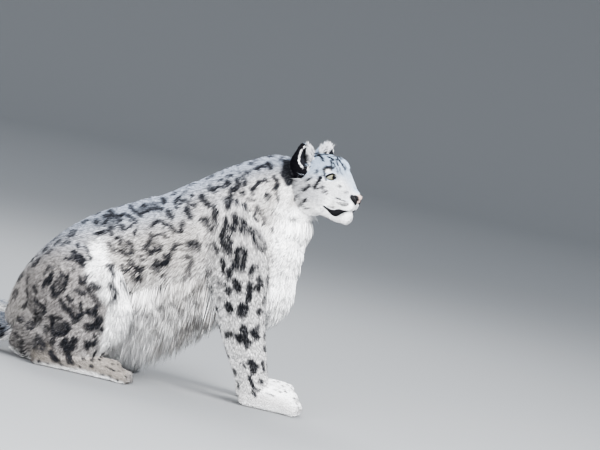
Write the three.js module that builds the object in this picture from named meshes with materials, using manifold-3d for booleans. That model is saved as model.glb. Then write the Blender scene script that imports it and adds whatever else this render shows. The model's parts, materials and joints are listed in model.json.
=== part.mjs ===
// A snow leopard sitting on level ground, life size, in its winter coat.
// Millimetres. +X is ahead, +Y is the animal's left, +Z is up, and the floor is at Z = 0.
import * as THREE from 'three';
import { LoftGeometry } from 'three/addons/geometries/LoftGeometry.js';
import { mergeVertices } from 'three/addons/utils/BufferGeometryUtils.js';
import Module from 'manifold-3d';

const wasm = await Module();
wasm.setup();

// Driving dimensions
const GAP = 0.3;                 // between touching nodes
const CLEAR = 0.5;               // added to the half sizes of a form that cuts its neighbour
const FLOOR_SIZE = 4000;
const HEAD_AT = [53, -40, 600];  // midpoint between the eyes
const HEAD_YAW = -24;            // degrees, turned to the animal's right
const HEAD_PITCH = 7;            // degrees, nose up
const HEAD_ROLL = 4;             // degrees, the left ear higher
const EYE_RADIUS = 14.5;
const EYE_AT = [-15, 37, 8];     // in the head's own frame, left eye
const EYE_TURN = 33;             // degrees outwards
const EAR_AT = [-71, 60, 37];    // middle of the ear's base, left ear
const EAR_TILT = 24;             // degrees, leaning outwards
const EAR_TURN = -13;            // degrees, both ears turned to the animal's right
const LEG_SPREAD = 76;           // forelegs' distance from the midplane
const FAR_LEG_BACK = 12;         // the left foreleg stands this much further back
const HOCK_SPREAD = 128;
const TAIL_RADIUS = 42;
const TAIL_TURN = 165;           // radius of the tail's curl on the floor
const TAIL_LENGTHS = 5;
const LOCK_THICKNESS = 10;       // of the coat's locks at their roots
const LOCK_SINK = 14;            // how deep their roots go into the body

// Colours
const COAT_COLOUR = 0xd9d4cb;
const WHITE_COLOUR = 0xf0efec;
const BELLY_COLOUR = 0xe6e3de;
const EAR_COLOUR = 0x2a292b;
const NOSE_COLOUR = 0x3a3234;
const EYE_COLOUR = 0x8e8a63;

const vector = (a) => new THREE.Vector3(...a);
const radians = THREE.MathUtils.degToRad;

// A seeded random number from 0 to 1, so that each build is alike.
function seeded(seed) {
  let state = seed;
  return () => {
    state = (state * 1664525 + 1013904223) % 4294967296;
    return state / 4294967296;
  };
}

const SMALL_DOME = [72, 36];     // degrees, the rings of a small form's round end

// One closed mesh as a solid.
function solidOf(geometry) {
  const plain = new THREE.BufferGeometry().setAttribute('position', geometry.getAttribute('position'));
  plain.setIndex(geometry.index);
  const merged = mergeVertices(plain, 1e-3);
  return new wasm.Manifold(new wasm.Mesh({
    numProp: 3,
    vertProperties: new Float32Array(merged.attributes.position.array),
    triVerts: new Uint32Array(merged.index.array),
  }));
}

function meshOf(solid, name, colour, roughness) {
  const mesh = solid.getMesh();
  const geometry = new THREE.BufferGeometry();
  geometry.setAttribute('position', new THREE.BufferAttribute(new Float32Array(mesh.vertProperties), 3));
  geometry.setIndex(new THREE.BufferAttribute(new Uint32Array(mesh.triVerts), 1));
  geometry.computeVertexNormals();
  const material = new THREE.MeshStandardMaterial({ color: colour, roughness, metalness: 0 });
  const made = new THREE.Mesh(geometry, material);
  made.name = name;
  return made;
}

const union = (solids) => wasm.Manifold.union(solids);

// The largest closed surface of a solid: a sealed hollow is filled and a loose scrap is dropped.
function largest(solid) {
  const pieces = solid.decompose();
  return pieces.reduce((best, piece) => (piece.volume() > best.volume() ? piece : best));
}

// Everything ahead of the plane through a point, in the direction of its normal.
function halfSpace(point, normal) {
  const box = new THREE.BoxGeometry(FLOOR_SIZE, FLOOR_SIZE, FLOOR_SIZE).translate(0, 0, FLOOR_SIZE / 2);
  const turn = new THREE.Quaternion().setFromUnitVectors(new THREE.Vector3(0, 0, 1), vector(normal).normalize());
  return solidOf(box.applyQuaternion(turn).translate(...point));
}

// The value at t, from 0 to 1, on a smooth line through evenly spaced values.
function smooth(values, t) {
  const place = t * (values.length - 1);
  const i = Math.min(Math.floor(place), values.length - 2);
  const f = place - i;
  const before = values[Math.max(i - 1, 0)];
  const after = values[Math.min(i + 2, values.length - 1)];
  const slopeA = (values[i + 1] - before) / 2;
  const slopeB = (after - values[i]) / 2;
  const cubic = 2 * values[i] - 2 * values[i + 1] + slopeA + slopeB;
  const square = -3 * values[i] + 3 * values[i + 1] - 2 * slopeA - slopeB;
  return ((cubic * f + square) * f + slopeA) * f + values[i];
}

// A rounded body along a path. A station is [x, y, z, half width, half height above, half height below].
// over is the direction that counts as above, and ends are how far the round ends stand past the path.
class Form {
  constructor(stations, {
    over = [0, 0, 1], ends = [20, 20], rings = 14, sides = 16, square = 2, dome = [80, 52, 24],
  } = {}) {
    Object.assign(this, { stations, over: vector(over), ends, rings, sides, square, dome });
  }

  column(k, t) {
    return smooth(this.stations.map((s) => s[k]), t);
  }

  centre(t) {
    return new THREE.Vector3(this.column(0, t), this.column(1, t), this.column(2, t));
  }

  frame(t) {
    const step = 0.09;
    const ahead = this.centre(Math.min(t + step, 1)).sub(this.centre(Math.max(t - step, 0))).normalize();
    const side = new THREE.Vector3().crossVectors(this.over, ahead).normalize();
    const up = new THREE.Vector3().crossVectors(ahead, side);
    return { ahead, side, up };
  }

  // The point at t along the path and an angle round it: 0 is at the side, 90 above, -90 below.
  at(t, angle, grow = 0, scale = 1, shift = 0) {
    const { ahead, side, up } = this.frame(t);
    const c = Math.cos(radians(angle));
    const s = Math.sin(radians(angle));
    const power = 2 / this.square;
    const across = Math.sign(c) * Math.abs(c) ** power * (this.column(3, t) + grow) * scale;
    const tall = Math.sign(s) * Math.abs(s) ** power * (this.column(s > 0 ? 4 : 5, t) + grow) * scale;
    return this.centre(t).addScaledVector(side, across).addScaledVector(up, tall).addScaledVector(ahead, shift);
  }

  // The way out of the surface there.
  outward(t, angle) {
    const here = this.at(t, angle);
    const along = this.at(Math.min(t + 0.02, 1), angle).sub(this.at(Math.max(t - 0.02, 0), angle));
    const round = this.at(t, angle + 4).sub(this.at(t, angle - 4));
    const out = new THREE.Vector3().crossVectors(round, along).normalize();
    return out.dot(here.sub(this.centre(t))) < 0 ? out.negate() : out;
  }

  section(t, grow, scale = 1, shift = 0) {
    return Array.from({ length: this.sides }, (_, k) => this.at(t, (360 * k) / this.sides, grow, scale, shift));
  }

  geometry(grow = 0) {
    const endRing = (t, a, bulge) => this.section(t, grow, Math.cos(radians(a)), bulge * Math.sin(radians(a)));
    const sections = this.dome.map((a) => endRing(0, a, -this.ends[0] - grow));
    for (let i = 0; i <= this.rings; i++) sections.push(this.section(i / this.rings, grow));
    [...this.dome].reverse().forEach((a) => sections.push(endRing(1, a, this.ends[1] + grow)));
    return new LoftGeometry(sections, { capStart: true, capEnd: true });
  }

  solid(grow = 0) {
    return solidOf(this.geometry(grow));
  }
}

// A flat tapered lock of hair. It leaves root along out, bends to lie along lay, and ends in a fine tip.
// wide is the direction of its width, and sink is how deep its root goes.
function lock({ root, out, lay, wide, length, width, thick, sink, lift }) {
  const place = (along, away) => root.clone().addScaledVector(lay, length * along).addScaledVector(out, away);
  const curve = new THREE.CatmullRomCurve3([
    place(-0.12, -sink), place(0.22, lift * 0.7), place(0.6, lift), place(1, lift * 0.4),
  ]);
  const sizes = [0.7, 1, 0.72, 0.1];
  const sections = sizes.map((size, i) => {
    const t = i / (sizes.length - 1);
    const flat = new THREE.Vector3().crossVectors(curve.getTangent(t), wide).normalize();
    const middle = curve.getPoint(t);
    return [[1, 0], [0, 1], [-1, 0], [0, -1]].map(([a, b]) => middle.clone()
      .addScaledVector(wide, (a * width * size) / 2)
      .addScaledVector(flat, (b * thick * Math.max(size, 0.25)) / 2));
  });
  return solidOf(new LoftGeometry(sections, { capStart: true, capEnd: true }));
}

// Rows of locks on a form. A row runs from one place on the path to another, at an angle round it.
// lay is the direction that the hair falls in, or null for along the path, and along says that the locks'
// width runs along the path.
function lockRows(form, rows, { lay, along, seed }) {
  const draw = seeded(seed);
  const vary = (size, share) => size * (1 + share * (2 * draw() - 1));
  return rows.flatMap(({ from, to, angle, count, length, width, lift = 8 }) => (
    Array.from({ length: count }, (_, k) => {
      const share = (k + 0.5 + 0.3 * (draw() - 0.5)) / count;
      const t = from + (to - from) * share;
      const a = angle + 5 * (draw() - 0.5);
      const round = form.at(t, a + 3).sub(form.at(t, a - 3)).normalize();
      const { ahead } = form.frame(t);
      const fall = (lay ? vector(lay) : ahead.clone()).addScaledVector(ahead, 0.16 * (draw() - 0.5)).normalize();
      return lock({
        root: form.at(t, a),
        out: form.outward(t, a),
        lay: fall,
        wide: along ? ahead : round,
        length: vary(Array.isArray(length) ? smooth(length, share) : length, 0.1),
        width: vary(width, 0.14),
        thick: LOCK_THICKNESS,
        sink: LOCK_SINK,
        lift: vary(lift, 0.4),
      });
    })));
}

// The head's own frame: x ahead, y left, z up, from the midpoint between the eyes.
const headFrame = new THREE.Matrix4()
  .makeTranslation(...HEAD_AT)
  .multiply(new THREE.Matrix4().makeRotationZ(radians(HEAD_YAW)))
  .multiply(new THREE.Matrix4().makeRotationY(radians(-HEAD_PITCH)))
  .multiply(new THREE.Matrix4().makeRotationX(radians(HEAD_ROLL)));
const onHead = (solid) => solid.transform(headFrame.elements);

// Trunk and neck, from the root of the tail to the back of the head
const trunk = new Form([
  [-655, 0, 92, 70, 56, 64],
  [-622, 0, 146, 102, 84, 104],
  [-565, 0, 214, 124, 108, 128],
  [-480, 0, 272, 134, 130, 138],
  [-380, 0, 322, 140, 136, 142],
  [-275, 0, 372, 134, 136, 150],
  [-175, 0, 398, 122, 136, 158],
  [-88, 0, 386, 102, 118, 148],
], { ends: [34, 94], rings: 11, sides: 18, dome: [76, 44] });

const neck = new Form([
  [-310, 0, 384, 112, 112, 90],
  [-225, 0, 440, 112, 114, 110],
  [-150, 0, 488, 104, 118, 126],
  [-90, -4, 536, 88, 105, 116],
  [-44, -14, 560, 66, 89, 92],
], { ends: [40, 24], rings: 5, sides: 16, dome: [74, 40] });

// The front of the neck, from under the jaw down to the breast
const throat = new Form([
  [-72, -18, 515, 66, 95, 50],
  [-84, -8, 450, 80, 91, 60],
  [-92, 0, 380, 92, 94, 60],
  [-98, 0, 315, 92, 100, 60],
  [-108, 0, 268, 74, 84, 50],
], { over: [1, 0, 0], ends: [16, 28], rings: 4, sides: 12, dome: [74, 40] });

// Head
const skull = new Form([
  [-112, 0, -22, 62, 58, 72],
  [-85, 0, -22, 75, 80, 82],
  [-52, 0, -20, 79, 87, 77],
  [-20, 0, -18, 68, 79, 73],
  [5, 0, -26, 47, 46, 60],
  [24, 0, -40, 33, 32, 45],
  [38, 0, -50, 20, 27, 33],
  [49, 0, -55, 13, 18, 21],
], { ends: [30, 4], rings: 10, sides: 20, square: 2.2 });

const forehead = new Form([
  [-40, 0, 18, 50, 42, 30],
  [-12, 0, 18, 41, 41, 30],
  [6, 0, 10, 27, 31, 24],
], { ends: [10, 8], rings: 3, sides: 10, dome: SMALL_DOME });

const bridge = new Form([
  [-16, 0, 16, 24, 26, 30],
  [6, 0, -2, 18, 21, 26],
  [30, 0, -22, 14, 15, 22],
  [48, 0, -36, 13, 12, 18],
], { ends: [10, 6], rings: 4, sides: 10, dome: SMALL_DOME });

const jaw = new Form([
  [-56, 0, -76, 42, 14, 17],
  [-22, 0, -82, 37, 15, 13],
  [6, 0, -90, 31, 14, 16],
  [26, 0, -91, 25, 20, 18],
], { ends: [14, 12], rings: 4, sides: 14, square: 2.3 });

const whiskerPad = (side) => new Form([
  [6, side * 20, -58, 17, 18, 20],
  [24, side * 19, -60, 18, 17, 18],
  [39, side * 13, -61, 13, 13, 13],
], { ends: [8, 8], rings: 3, sides: 9, dome: SMALL_DOME });

const browRidge = (side) => new Form([
  [-30, side * 44, 24, 12, 12, 12],
  [-10, side * 35, 29, 13, 12, 12],
  [5, side * 23, 26, 11, 10, 10],
], { ends: [8, 5], rings: 3, sides: 8, dome: SMALL_DOME });

// The edge of the upper lip, from the corner of the mouth to the front
const upperLip = (side) => new Form([
  [-24, side * 44, -66, 5, 6, 6],
  [-8, side * 40, -73, 5, 6, 6],
  [14, side * 34, -76, 5, 6, 6],
  [38, side * 20, -69, 5, 6, 6],
], { ends: [6, 6], rings: 4, sides: 6, dome: [50] });

const nosePad = new Form([
  [37, 0, -37, 15, 11, 14],
  [54, 0, -43, 16, 9, 14],
], { ends: [4, 5], rings: 2, sides: 10, square: 2.4, dome: [60] });

const nostril = (side) => new Form([
  [53, side * 8, -45, 2.4, 3, 3],
  [67, side * 10, -45, 3.2, 4, 4],
], { ends: [2, 2], rings: 1, sides: 6, dome: [] });

const eyeCentre = (side) => [EYE_AT[0], side * EYE_AT[1], EYE_AT[2]];

function eyeBall(side, grow = 0) {
  return solidOf(new THREE.SphereGeometry(EYE_RADIUS + grow, 10, 7).translate(...eyeCentre(side)));
}

// The eye's own frame: x out of the eye, y left, z up.
const eyeFrame = (side) => new THREE.Matrix4().makeRotationZ(radians(side * EYE_TURN)).setPosition(...eyeCentre(side));

// The open part between the lids, widening outwards.
function eyeOpening(side) {
  const cone = new Form([
    [6, 0, 0, 9.5, 6, 6],
    [13, 0, 0, 11.5, 8, 7.5],
    [34, 0, 0, 17, 15, 12],
  ], { ends: [3, 3], rings: 4, sides: 14 });
  return cone.solid().transform(eyeFrame(side).elements);
}

// The lids: an almond rim round the open part of the eye.
function lids(side) {
  const turn = eyeFrame(side);
  const points = 14;
  const rim = Array.from({ length: points }, (_, k) => {
    const a = (2 * Math.PI * k) / points;
    const across = 13 * Math.cos(a);
    const tall = 9.5 * Math.sin(a) * (1 - 0.25 * Math.abs(Math.cos(a)));
    return new THREE.Vector3(11.5 - (across * across) / 60, across, tall + side * across * 0.12).applyMatrix4(turn);
  });
  const curve = new THREE.CatmullRomCurve3(rim, true);
  const section = new THREE.Shape();
  section.absarc(0, 0, 3.4, 0, 2 * Math.PI);
  return solidOf(new THREE.ExtrudeGeometry(section, { extrudePath: curve, steps: points, curveSegments: 3 }));
}

// An ear: a round cup on a broad base, open to the front and side.
function earSolid(side, grow = 0) {
  const shell = new Form([
    [0, 0, -30, 30, 17, 46],
    [-1, 0, 2, 33, 17, 42],
    [-2, 0, 26, 29, 13, 25],
    [-3, 0, 42, 19, 8, 12],
  ], { over: [1, 0, 0], ends: [2, 9], rings: 4, sides: 11, dome: [60] });
  const hollow = new Form([
    [14, 0, 0, 19, 12, 10],
    [10, 0, 14, 23, 13, 11],
    [8, 0, 30, 20, 12, 8],
    [8, 0, 40, 12, 10, 5],
  ], { over: [1, 0, 0], ends: [3, 5], rings: 3, sides: 9, dome: SMALL_DOME });
  const place = new THREE.Matrix4().makeTranslation(EAR_AT[0], side * EAR_AT[1], EAR_AT[2])
    .multiply(new THREE.Matrix4().makeRotationX(radians(-side * EAR_TILT)))
    .multiply(new THREE.Matrix4().makeRotationZ(radians(EAR_TURN)));
  const cup = grow ? shell.solid(grow) : shell.solid().subtract(hollow.solid());
  return cup.transform(place.elements);
}

// Forelegs. side is 1 for the left one.
const foreShift = (side) => (side > 0 ? -FAR_LEG_BACK : 0);

const foreLeg = (side) => new Form([
  [-204, side * 84, 478, 42, 60, 56],
  [-170, side * 95, 396, 52, 84, 76],
  [-152, side * 96, 310, 52, 88, 74],
  [-124, side * 87, 226, 49, 70, 64],
  [-94, side * 80, 148, 45, 56, 54],
  [-68, side * LEG_SPREAD, 84, 43, 46, 44],
  [-52, side * LEG_SPREAD, 44, 43, 42, 40],
].map(([x, ...rest]) => [x + foreShift(side), ...rest]),
{ over: [1, 0, 0], ends: [24, 30], rings: 8, sides: 12, dome: SMALL_DOME });

const forePaw = (side) => new Form([
  [-66, side * LEG_SPREAD, 26, 38, 28, 34],
  [-30, side * LEG_SPREAD, 30, 44, 32, 40],
  [12, side * LEG_SPREAD, 29, 48, 33, 40],
  [47, side * LEG_SPREAD, 27, 49, 32, 38],
].map(([x, ...rest]) => [x + foreShift(side), ...rest]), { ends: [22, 20], rings: 3, sides: 9, dome: SMALL_DOME });

// Four toes in a fan at the front of a paw.
function toes(tipX, y, z, size) {
  return [-1.5, -0.5, 0.5, 1.5].map((k) => new Form([
    [tipX - 34 - Math.abs(k) * 8, y + k * size * 1.55, z, size, size * 1.15, size * 1.6],
    [tipX - 14 - Math.abs(k) * 7, y + k * size * 1.75, z - 3, size, size * 1.05, size * 1.6],
  ], { ends: [8, 15], rings: 1, sides: 6, dome: [55] }));
}

// Hind legs
const thigh = (side) => new Form([
  [-612, side * 84, 168, 56, 96, 104],
  [-556, side * 100, 194, 66, 116, 124],
  [-500, side * 112, 218, 66, 106, 118],
  [-446, side * 120, 242, 52, 76, 92],
], { ends: [40, 32], rings: 5, sides: 12, dome: [76, 44] });

const shank = (side) => new Form([
  [-440, side * 126, 200, 46, 48, 60],
  [-452, side * 130, 146, 47, 60, 74],
  [-486, side * 130, 96, 44, 68, 78],
  [-540, side * HOCK_SPREAD, 58, 38, 56, 56],
], { over: [1, 0, 0], ends: [20, 30], rings: 4, sides: 12, dome: SMALL_DOME });

const hindFoot = (side) => new Form([
  [-590, side * HOCK_SPREAD, 26, 32, 30, 36],
  [-530, side * (HOCK_SPREAD + 2), 28, 34, 28, 36],
  [-460, side * (HOCK_SPREAD + 6), 28, 38, 26, 36],
  [-400, side * (HOCK_SPREAD + 10), 24, 44, 26, 34],
], { ends: [20, 18], rings: 3, sides: 9, dome: SMALL_DOME });

// What the animal sits on: the soft back of each thigh, down to the floor.
const seat = (side) => new Form([
  [-640, side * 62, 88, 46, 62, 70],
  [-590, side * 72, 70, 58, 78, 80],
  [-530, side * 80, 66, 52, 70, 76],
], { ends: [24, 26], rings: 3, sides: 10, dome: SMALL_DOME });

// The tail leaves the rump, comes down to the floor and curls round to the animal's left.
function tailStations() {
  const stations = [[-640, 0, 96, TAIL_RADIUS + 6], [-692, 2, 66, TAIL_RADIUS + 2], [-752, 4, 46, TAIL_RADIUS]];
  const turns = 7;
  for (let k = 0; k <= turns; k++) {
    const a = radians(-90 - (180 * k) / turns);
    const x = -800 + Math.cos(a) * TAIL_TURN;
    const y = 6 + TAIL_TURN + Math.sin(a) * TAIL_TURN;
    stations.push([x, y, TAIL_RADIUS + 1, TAIL_RADIUS + 1]);
  }
  stations.push([-728, 6 + TAIL_TURN * 2, TAIL_RADIUS, TAIL_RADIUS - 1]);
  stations.push([-660, 2 + TAIL_TURN * 2, TAIL_RADIUS - 6, TAIL_RADIUS - 8]);
  return stations.map(([x, y, z, r]) => [x, y, z, r, r, r]);
}
const tail = new Form(tailStations(), { ends: [10, 34], rings: 24, sides: 9, dome: SMALL_DOME });

// Assembly: each node is cut back from what it meets, and all stand on the floor.
const floor = halfSpace([0, 0, 0], [0, 0, 1]);
const onFloor = (solid) => solid.intersect(floor);

function splitAt(solid, point, normal) {
  const ahead = vector(normal).normalize().multiplyScalar(GAP / 2);
  const front = vector(point).add(ahead).toArray();
  const back = vector(point).sub(ahead).toArray();
  return [
    solid.intersect(halfSpace(back, normal.map((n) => -n))),
    solid.intersect(halfSpace(front, normal)),
  ];
}

const root = new THREE.Group();
const add = (name, solid, colour, roughness = 0.9) => root.add(meshOf(largest(solid), name, colour, roughness));
const sides = [['right', -1], ['left', 1]];
const grown = (forms) => union(forms.map((f) => f.solid(CLEAR)));

// Head and what is set in it
const headForms = [
  skull, forehead, bridge, ...[-1, 1].flatMap((side) => [whiskerPad(side), browRidge(side), upperLip(side)]),
];
const headCutters = union([jaw.solid(CLEAR), nosePad.solid(CLEAR), eyeBall(-1, CLEAR), eyeBall(1, CLEAR)]);
const openHead = union(headForms.map((f) => f.solid())).subtract(union([eyeOpening(-1), eyeOpening(1)]));
const head = onHead(union([openHead, lids(-1), lids(1)]).subtract(headCutters));
const headBulk = onHead(union([
  ...headForms.map((f) => f.solid(CLEAR)), jaw.solid(CLEAR), earSolid(-1, CLEAR), earSolid(1, CLEAR),
]));
add('head', head, COAT_COLOUR);
add('jaw', onHead(jaw.solid()), WHITE_COLOUR);
add('nose', onHead(nosePad.solid().subtract(union([nostril(-1).solid(), nostril(1).solid()]))), NOSE_COLOUR, 0.5);
sides.forEach(([name, side]) => {
  add(`eye_${name}`, onHead(eyeBall(side)), EYE_COLOUR, 0.15);
  add(`ear_${name}`, onHead(earSolid(side).subtract(grown(headForms))), EAR_COLOUR);
});

// Legs
const legs = sides.map(([name, side]) => {
  const [armAbove, armBelow] = splitAt(foreLeg(side).solid(), [-130, side * 84, 240], [0.25, 0, -1]);
  const pawForms = [forePaw(side), ...toes(82 + foreShift(side), side * LEG_SPREAD, 23, 15)];
  const footForms = [hindFoot(side), ...toes(-350, side * (HOCK_SPREAD + 12), 20, 13)];
  return { name, side, armAbove, armBelow, pawForms, footForms };
});
legs.forEach(({ name, side, armAbove, armBelow, pawForms, footForms }) => {
  const paw = union(pawForms.map((f) => f.solid()));
  add(`upper_arm_${name}`, onFloor(armAbove), COAT_COLOUR);
  add(`forearm_${name}`, onFloor(armBelow).subtract(grown(pawForms)), COAT_COLOUR);
  add(`forepaw_${name}`, onFloor(paw), WHITE_COLOUR);
  const haunch = onFloor(union([thigh(side).solid(), seat(side).solid()]));
  add(`thigh_${name}`, haunch.subtract(grown([shank(side), ...footForms])), COAT_COLOUR);
  add(`shank_${name}`, onFloor(shank(side).solid()).subtract(grown(footForms)), COAT_COLOUR);
  add(`hind_foot_${name}`, onFloor(union(footForms.map((f) => f.solid()))), WHITE_COLOUR);
});
const legBulk = union(legs.flatMap(({ side, pawForms, footForms }) => [
  grown([foreLeg(side), thigh(side), seat(side), shank(side)]), grown(pawForms), grown(footForms),
]));

// Long coat: the fringe of the belly and flanks, the ruff of the neck and breast, and the tail's
const FRINGE_LENGTHS = [150, 158, 150, 104, 66];
const bellyFringe = lockRows(trunk, [-1, 1].flatMap((side) => [
  { from: 0.44, to: 0.82, angle: -90 + side * 14, count: 6, length: FRINGE_LENGTHS, width: 46 },
  { from: 0.45, to: 0.82, angle: -90 + side * 36, count: 8, length: FRINGE_LENGTHS, width: 42 },
  { from: 0.46, to: 0.81, angle: -90 + side * 56, count: 7, length: FRINGE_LENGTHS.map((l) => l * 0.8), width: 42 },
]), { lay: [0.06, 0, -1], along: true, seed: 11 });

const RUFF_ROWS = [[0.16, -22, 22], [0.42, -46, 0, 46], [0.64, -24, 24], [0.86, -54, -18, 18, 54]];
const ruff = lockRows(throat, RUFF_ROWS.flatMap(([t, ...turns]) => turns.map((turn) => (
  { from: t, to: t, angle: 90 + turn, count: 1, length: 92, width: 56, lift: 9 }
))), { lay: [-0.12, 0, -1], along: false, seed: 23 });

const neckRuff = lockRows(neck, [-1, 1].flatMap((side) => [
  { from: 0.66, to: 0.98, angle: -90 + side * 56, count: 2, length: 84, width: 50, lift: 17 },
  { from: 0.6, to: 0.94, angle: -90 + side * 88, count: 2, length: 76, width: 48, lift: 17 },
]), { lay: [-0.35, 0, -0.94], along: true, seed: 37 });

const tailLocks = lockRows(tail, [
  { from: 0.14, to: 0.98, angle: 55, count: 6, length: 84, width: 36, lift: 10 },
  { from: 0.1, to: 0.94, angle: 125, count: 5, length: 84, width: 36, lift: 10 },
], { lay: null, along: false, seed: 41 });

// Trunk and neck
const bodyForms = [trunk, neck, throat].map((f) => f.solid());
const body = onFloor(union([...bodyForms, ...bellyFringe, ...ruff, ...neckRuff]));
const flesh = body.subtract(union([headBulk, legBulk]));
const [hindPart, forePart] = splitAt(flesh, [-235, 0, 380], [0.9, 0, 0.43]);
const [rump, loin] = splitAt(hindPart, [-500, 0, 270], [0.86, 0, 0.5]);
const [chest, nape] = splitAt(forePart, [-120, 0, 470], [0.3, 0, 0.95]);
add('rump', rump, COAT_COLOUR);
add('loin', loin, BELLY_COLOUR);
add('chest', chest, BELLY_COLOUR);
add('neck', nape, COAT_COLOUR);

// Tail, in lengths
let rest = onFloor(union([tail.solid(), ...tailLocks])).subtract(union([trunk.solid(CLEAR), legBulk]));
for (let k = 1; k < TAIL_LENGTHS; k++) {
  const t = 0.06 + (0.94 * k) / TAIL_LENGTHS;
  const { ahead } = tail.frame(t);
  const reach = TAIL_RADIUS * 1.6;
  const slab = new THREE.BoxGeometry(reach * 2, reach * 2, GAP)
    .applyQuaternion(new THREE.Quaternion().setFromUnitVectors(new THREE.Vector3(0, 0, 1), ahead))
    .translate(...tail.centre(t).toArray());
  rest = rest.subtract(solidOf(slab));
}
const tailPieces = rest.decompose().sort((a, b) => b.volume() - a.volume()).slice(0, TAIL_LENGTHS);
const nearestT = (piece) => {
  const box = piece.boundingBox();
  const middle = new THREE.Vector3().addVectors(vector(box.min), vector(box.max)).multiplyScalar(0.5);
  const places = Array.from({ length: 101 }, (_, k) => k / 100);
  return places.reduce((best, t) => (
    tail.centre(t).distanceTo(middle) < tail.centre(best).distanceTo(middle) ? t : best));
};
tailPieces
  .sort((a, b) => nearestT(a) - nearestT(b))
  .forEach((piece, k) => add(`tail_${k + 1}`, piece, COAT_COLOUR));

// The origin is on the floor, under the middle of the whole animal's box.
const whole = new THREE.Box3().setFromObject(root).getCenter(new THREE.Vector3());
root.position.set(-whole.x, -whole.y, 0);

export default root;
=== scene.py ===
"""A snow leopard sitting on level ground in its winter coat, seen at life size.

The body is a skin worked out from the same rounded forms as the solids, in millimetres of the animal's own
frame: +X is ahead, +Y is the animal's left and +Z is up. Over it lies the coat, as many thin closed tufts
that follow the lie of the hair. Everything is put into Blender in metres, in the frame of the solids.
"""
from __future__ import annotations

import json
import logging
import math
from dataclasses import dataclass, field
from enum import Enum
from typing import ClassVar

import bpy
import numpy as np
from mathutils import Matrix, Vector

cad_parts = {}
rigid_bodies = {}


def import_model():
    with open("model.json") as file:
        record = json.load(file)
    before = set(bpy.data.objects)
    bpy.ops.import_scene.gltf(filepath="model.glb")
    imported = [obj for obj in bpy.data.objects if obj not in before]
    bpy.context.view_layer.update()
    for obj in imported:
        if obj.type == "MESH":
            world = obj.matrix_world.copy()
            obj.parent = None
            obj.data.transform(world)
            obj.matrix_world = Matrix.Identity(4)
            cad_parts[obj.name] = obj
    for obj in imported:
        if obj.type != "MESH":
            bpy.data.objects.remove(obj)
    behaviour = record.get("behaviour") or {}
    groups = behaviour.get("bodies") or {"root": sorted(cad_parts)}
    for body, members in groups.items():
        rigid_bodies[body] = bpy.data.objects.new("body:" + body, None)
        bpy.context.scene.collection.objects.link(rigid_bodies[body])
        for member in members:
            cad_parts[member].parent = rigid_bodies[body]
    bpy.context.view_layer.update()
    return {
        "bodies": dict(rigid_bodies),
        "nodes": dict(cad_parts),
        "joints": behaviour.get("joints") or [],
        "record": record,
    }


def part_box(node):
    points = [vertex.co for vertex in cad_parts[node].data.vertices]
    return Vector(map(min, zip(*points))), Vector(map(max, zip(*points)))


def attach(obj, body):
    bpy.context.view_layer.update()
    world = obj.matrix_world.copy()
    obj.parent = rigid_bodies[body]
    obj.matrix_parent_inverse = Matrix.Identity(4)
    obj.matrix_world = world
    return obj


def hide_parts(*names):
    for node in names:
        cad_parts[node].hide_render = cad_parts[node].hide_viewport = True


LOG = logging.getLogger("snow_leopard")
MM = 0.001

HEAD_AT = (53.0, -40.0, 600.0)
HEAD_YAW = -24.0
HEAD_PITCH = 7.0
HEAD_ROLL = 4.0
EYE_RADIUS = 14.5
EYE_AT = (-15.0, 37.0, 8.0)
EYE_TURN = 33.0
GAZE_TURN = 12.0
EAR_AT = (-71.0, 60.0, 37.0)
EAR_TILT = 24.0
EAR_TURN = -13.0
LEG_SPREAD = 76.0
FAR_LEG_BACK = 12.0
HOCK_SPREAD = 128.0
TAIL_RADIUS = 42.0
TAIL_TURN = 165.0
FLOOR_GAP = 0.3

Array = np.ndarray


class Side(Enum):
    """The animal's own sides, with the sign of their Y."""

    RIGHT = -1
    LEFT = 1


class Tone(Enum):
    """The coat's ground colours, as linear red, green and blue, some with painted sky light and painted
    shade.
    """

    # The back's own grey, with a painted blue cast of sky light on the fur that faces up
    BACK = (0.235, 0.26, 0.31)
    FLANK = (0.42, 0.40, 0.385)
    # The haunch's own warm grey, darkened further with painted shade of its shadow side
    HAUNCH = (0.29, 0.275, 0.27)
    LEG = (0.64, 0.63, 0.63)
    FOOT = (0.24, 0.22, 0.20)
    WHITE = (0.93, 0.93, 0.935)
    FACE = (0.33, 0.40, 0.50)
    CHEEK = (0.55, 0.555, 0.575)
    EAR_BACK = (0.006, 0.006, 0.008)
    # Painted shade in the hollow of each ear, near black
    EAR_INSIDE = (0.012, 0.012, 0.015)


def unit(a: Array) -> Array:
    """Vectors of length one: each row over its own length."""
    return a / np.maximum(np.linalg.norm(a, axis=-1, keepdims=True), 1e-9)


def smoothstep(x: Array, low: float, high: float) -> Array:
    """A soft step from 0 at low to 1 at high, 3f squared less 2f cubed of the clipped fraction f."""
    f = np.clip((x - low) / (high - low), 0.0, 1.0)
    return f * f * (3 - 2 * f)


def smooth_line(values: Array, t: Array) -> Array:
    """A smooth line through evenly spaced rows of values.

    Between two rows it is the cubic whose slopes at the ends are half the step from the row before to the
    row after.

    Args:
        values: rows of numbers, evenly spaced from t = 0 to t = 1.
        t: places along the line.

    Returns:
        One row for each place.
    """
    last = len(values) - 1
    place = np.clip(t, 0, 1) * last
    i = np.minimum(place.astype(int), last - 1)
    f = (place - i)[:, None]
    here, ahead = values[i], values[i + 1]
    slope_a = (ahead - values[np.maximum(i - 1, 0)]) / 2
    slope_b = (values[np.minimum(i + 2, last)] - here) / 2
    cubic = 2 * here - 2 * ahead + slope_a + slope_b
    square = -3 * here + 3 * ahead - 2 * slope_a - slope_b
    return ((cubic * f + square) * f + slope_a) * f + here


def turn(axis: str, degrees: float) -> Array:
    """A 4 by 4 rotation about one axis."""
    return np.array(Matrix.Rotation(math.radians(degrees), 4, axis))


def move(x: float, y: float, z: float) -> Array:
    """A 4 by 4 translation."""
    return np.array(Matrix.Translation((x, y, z)))


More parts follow.
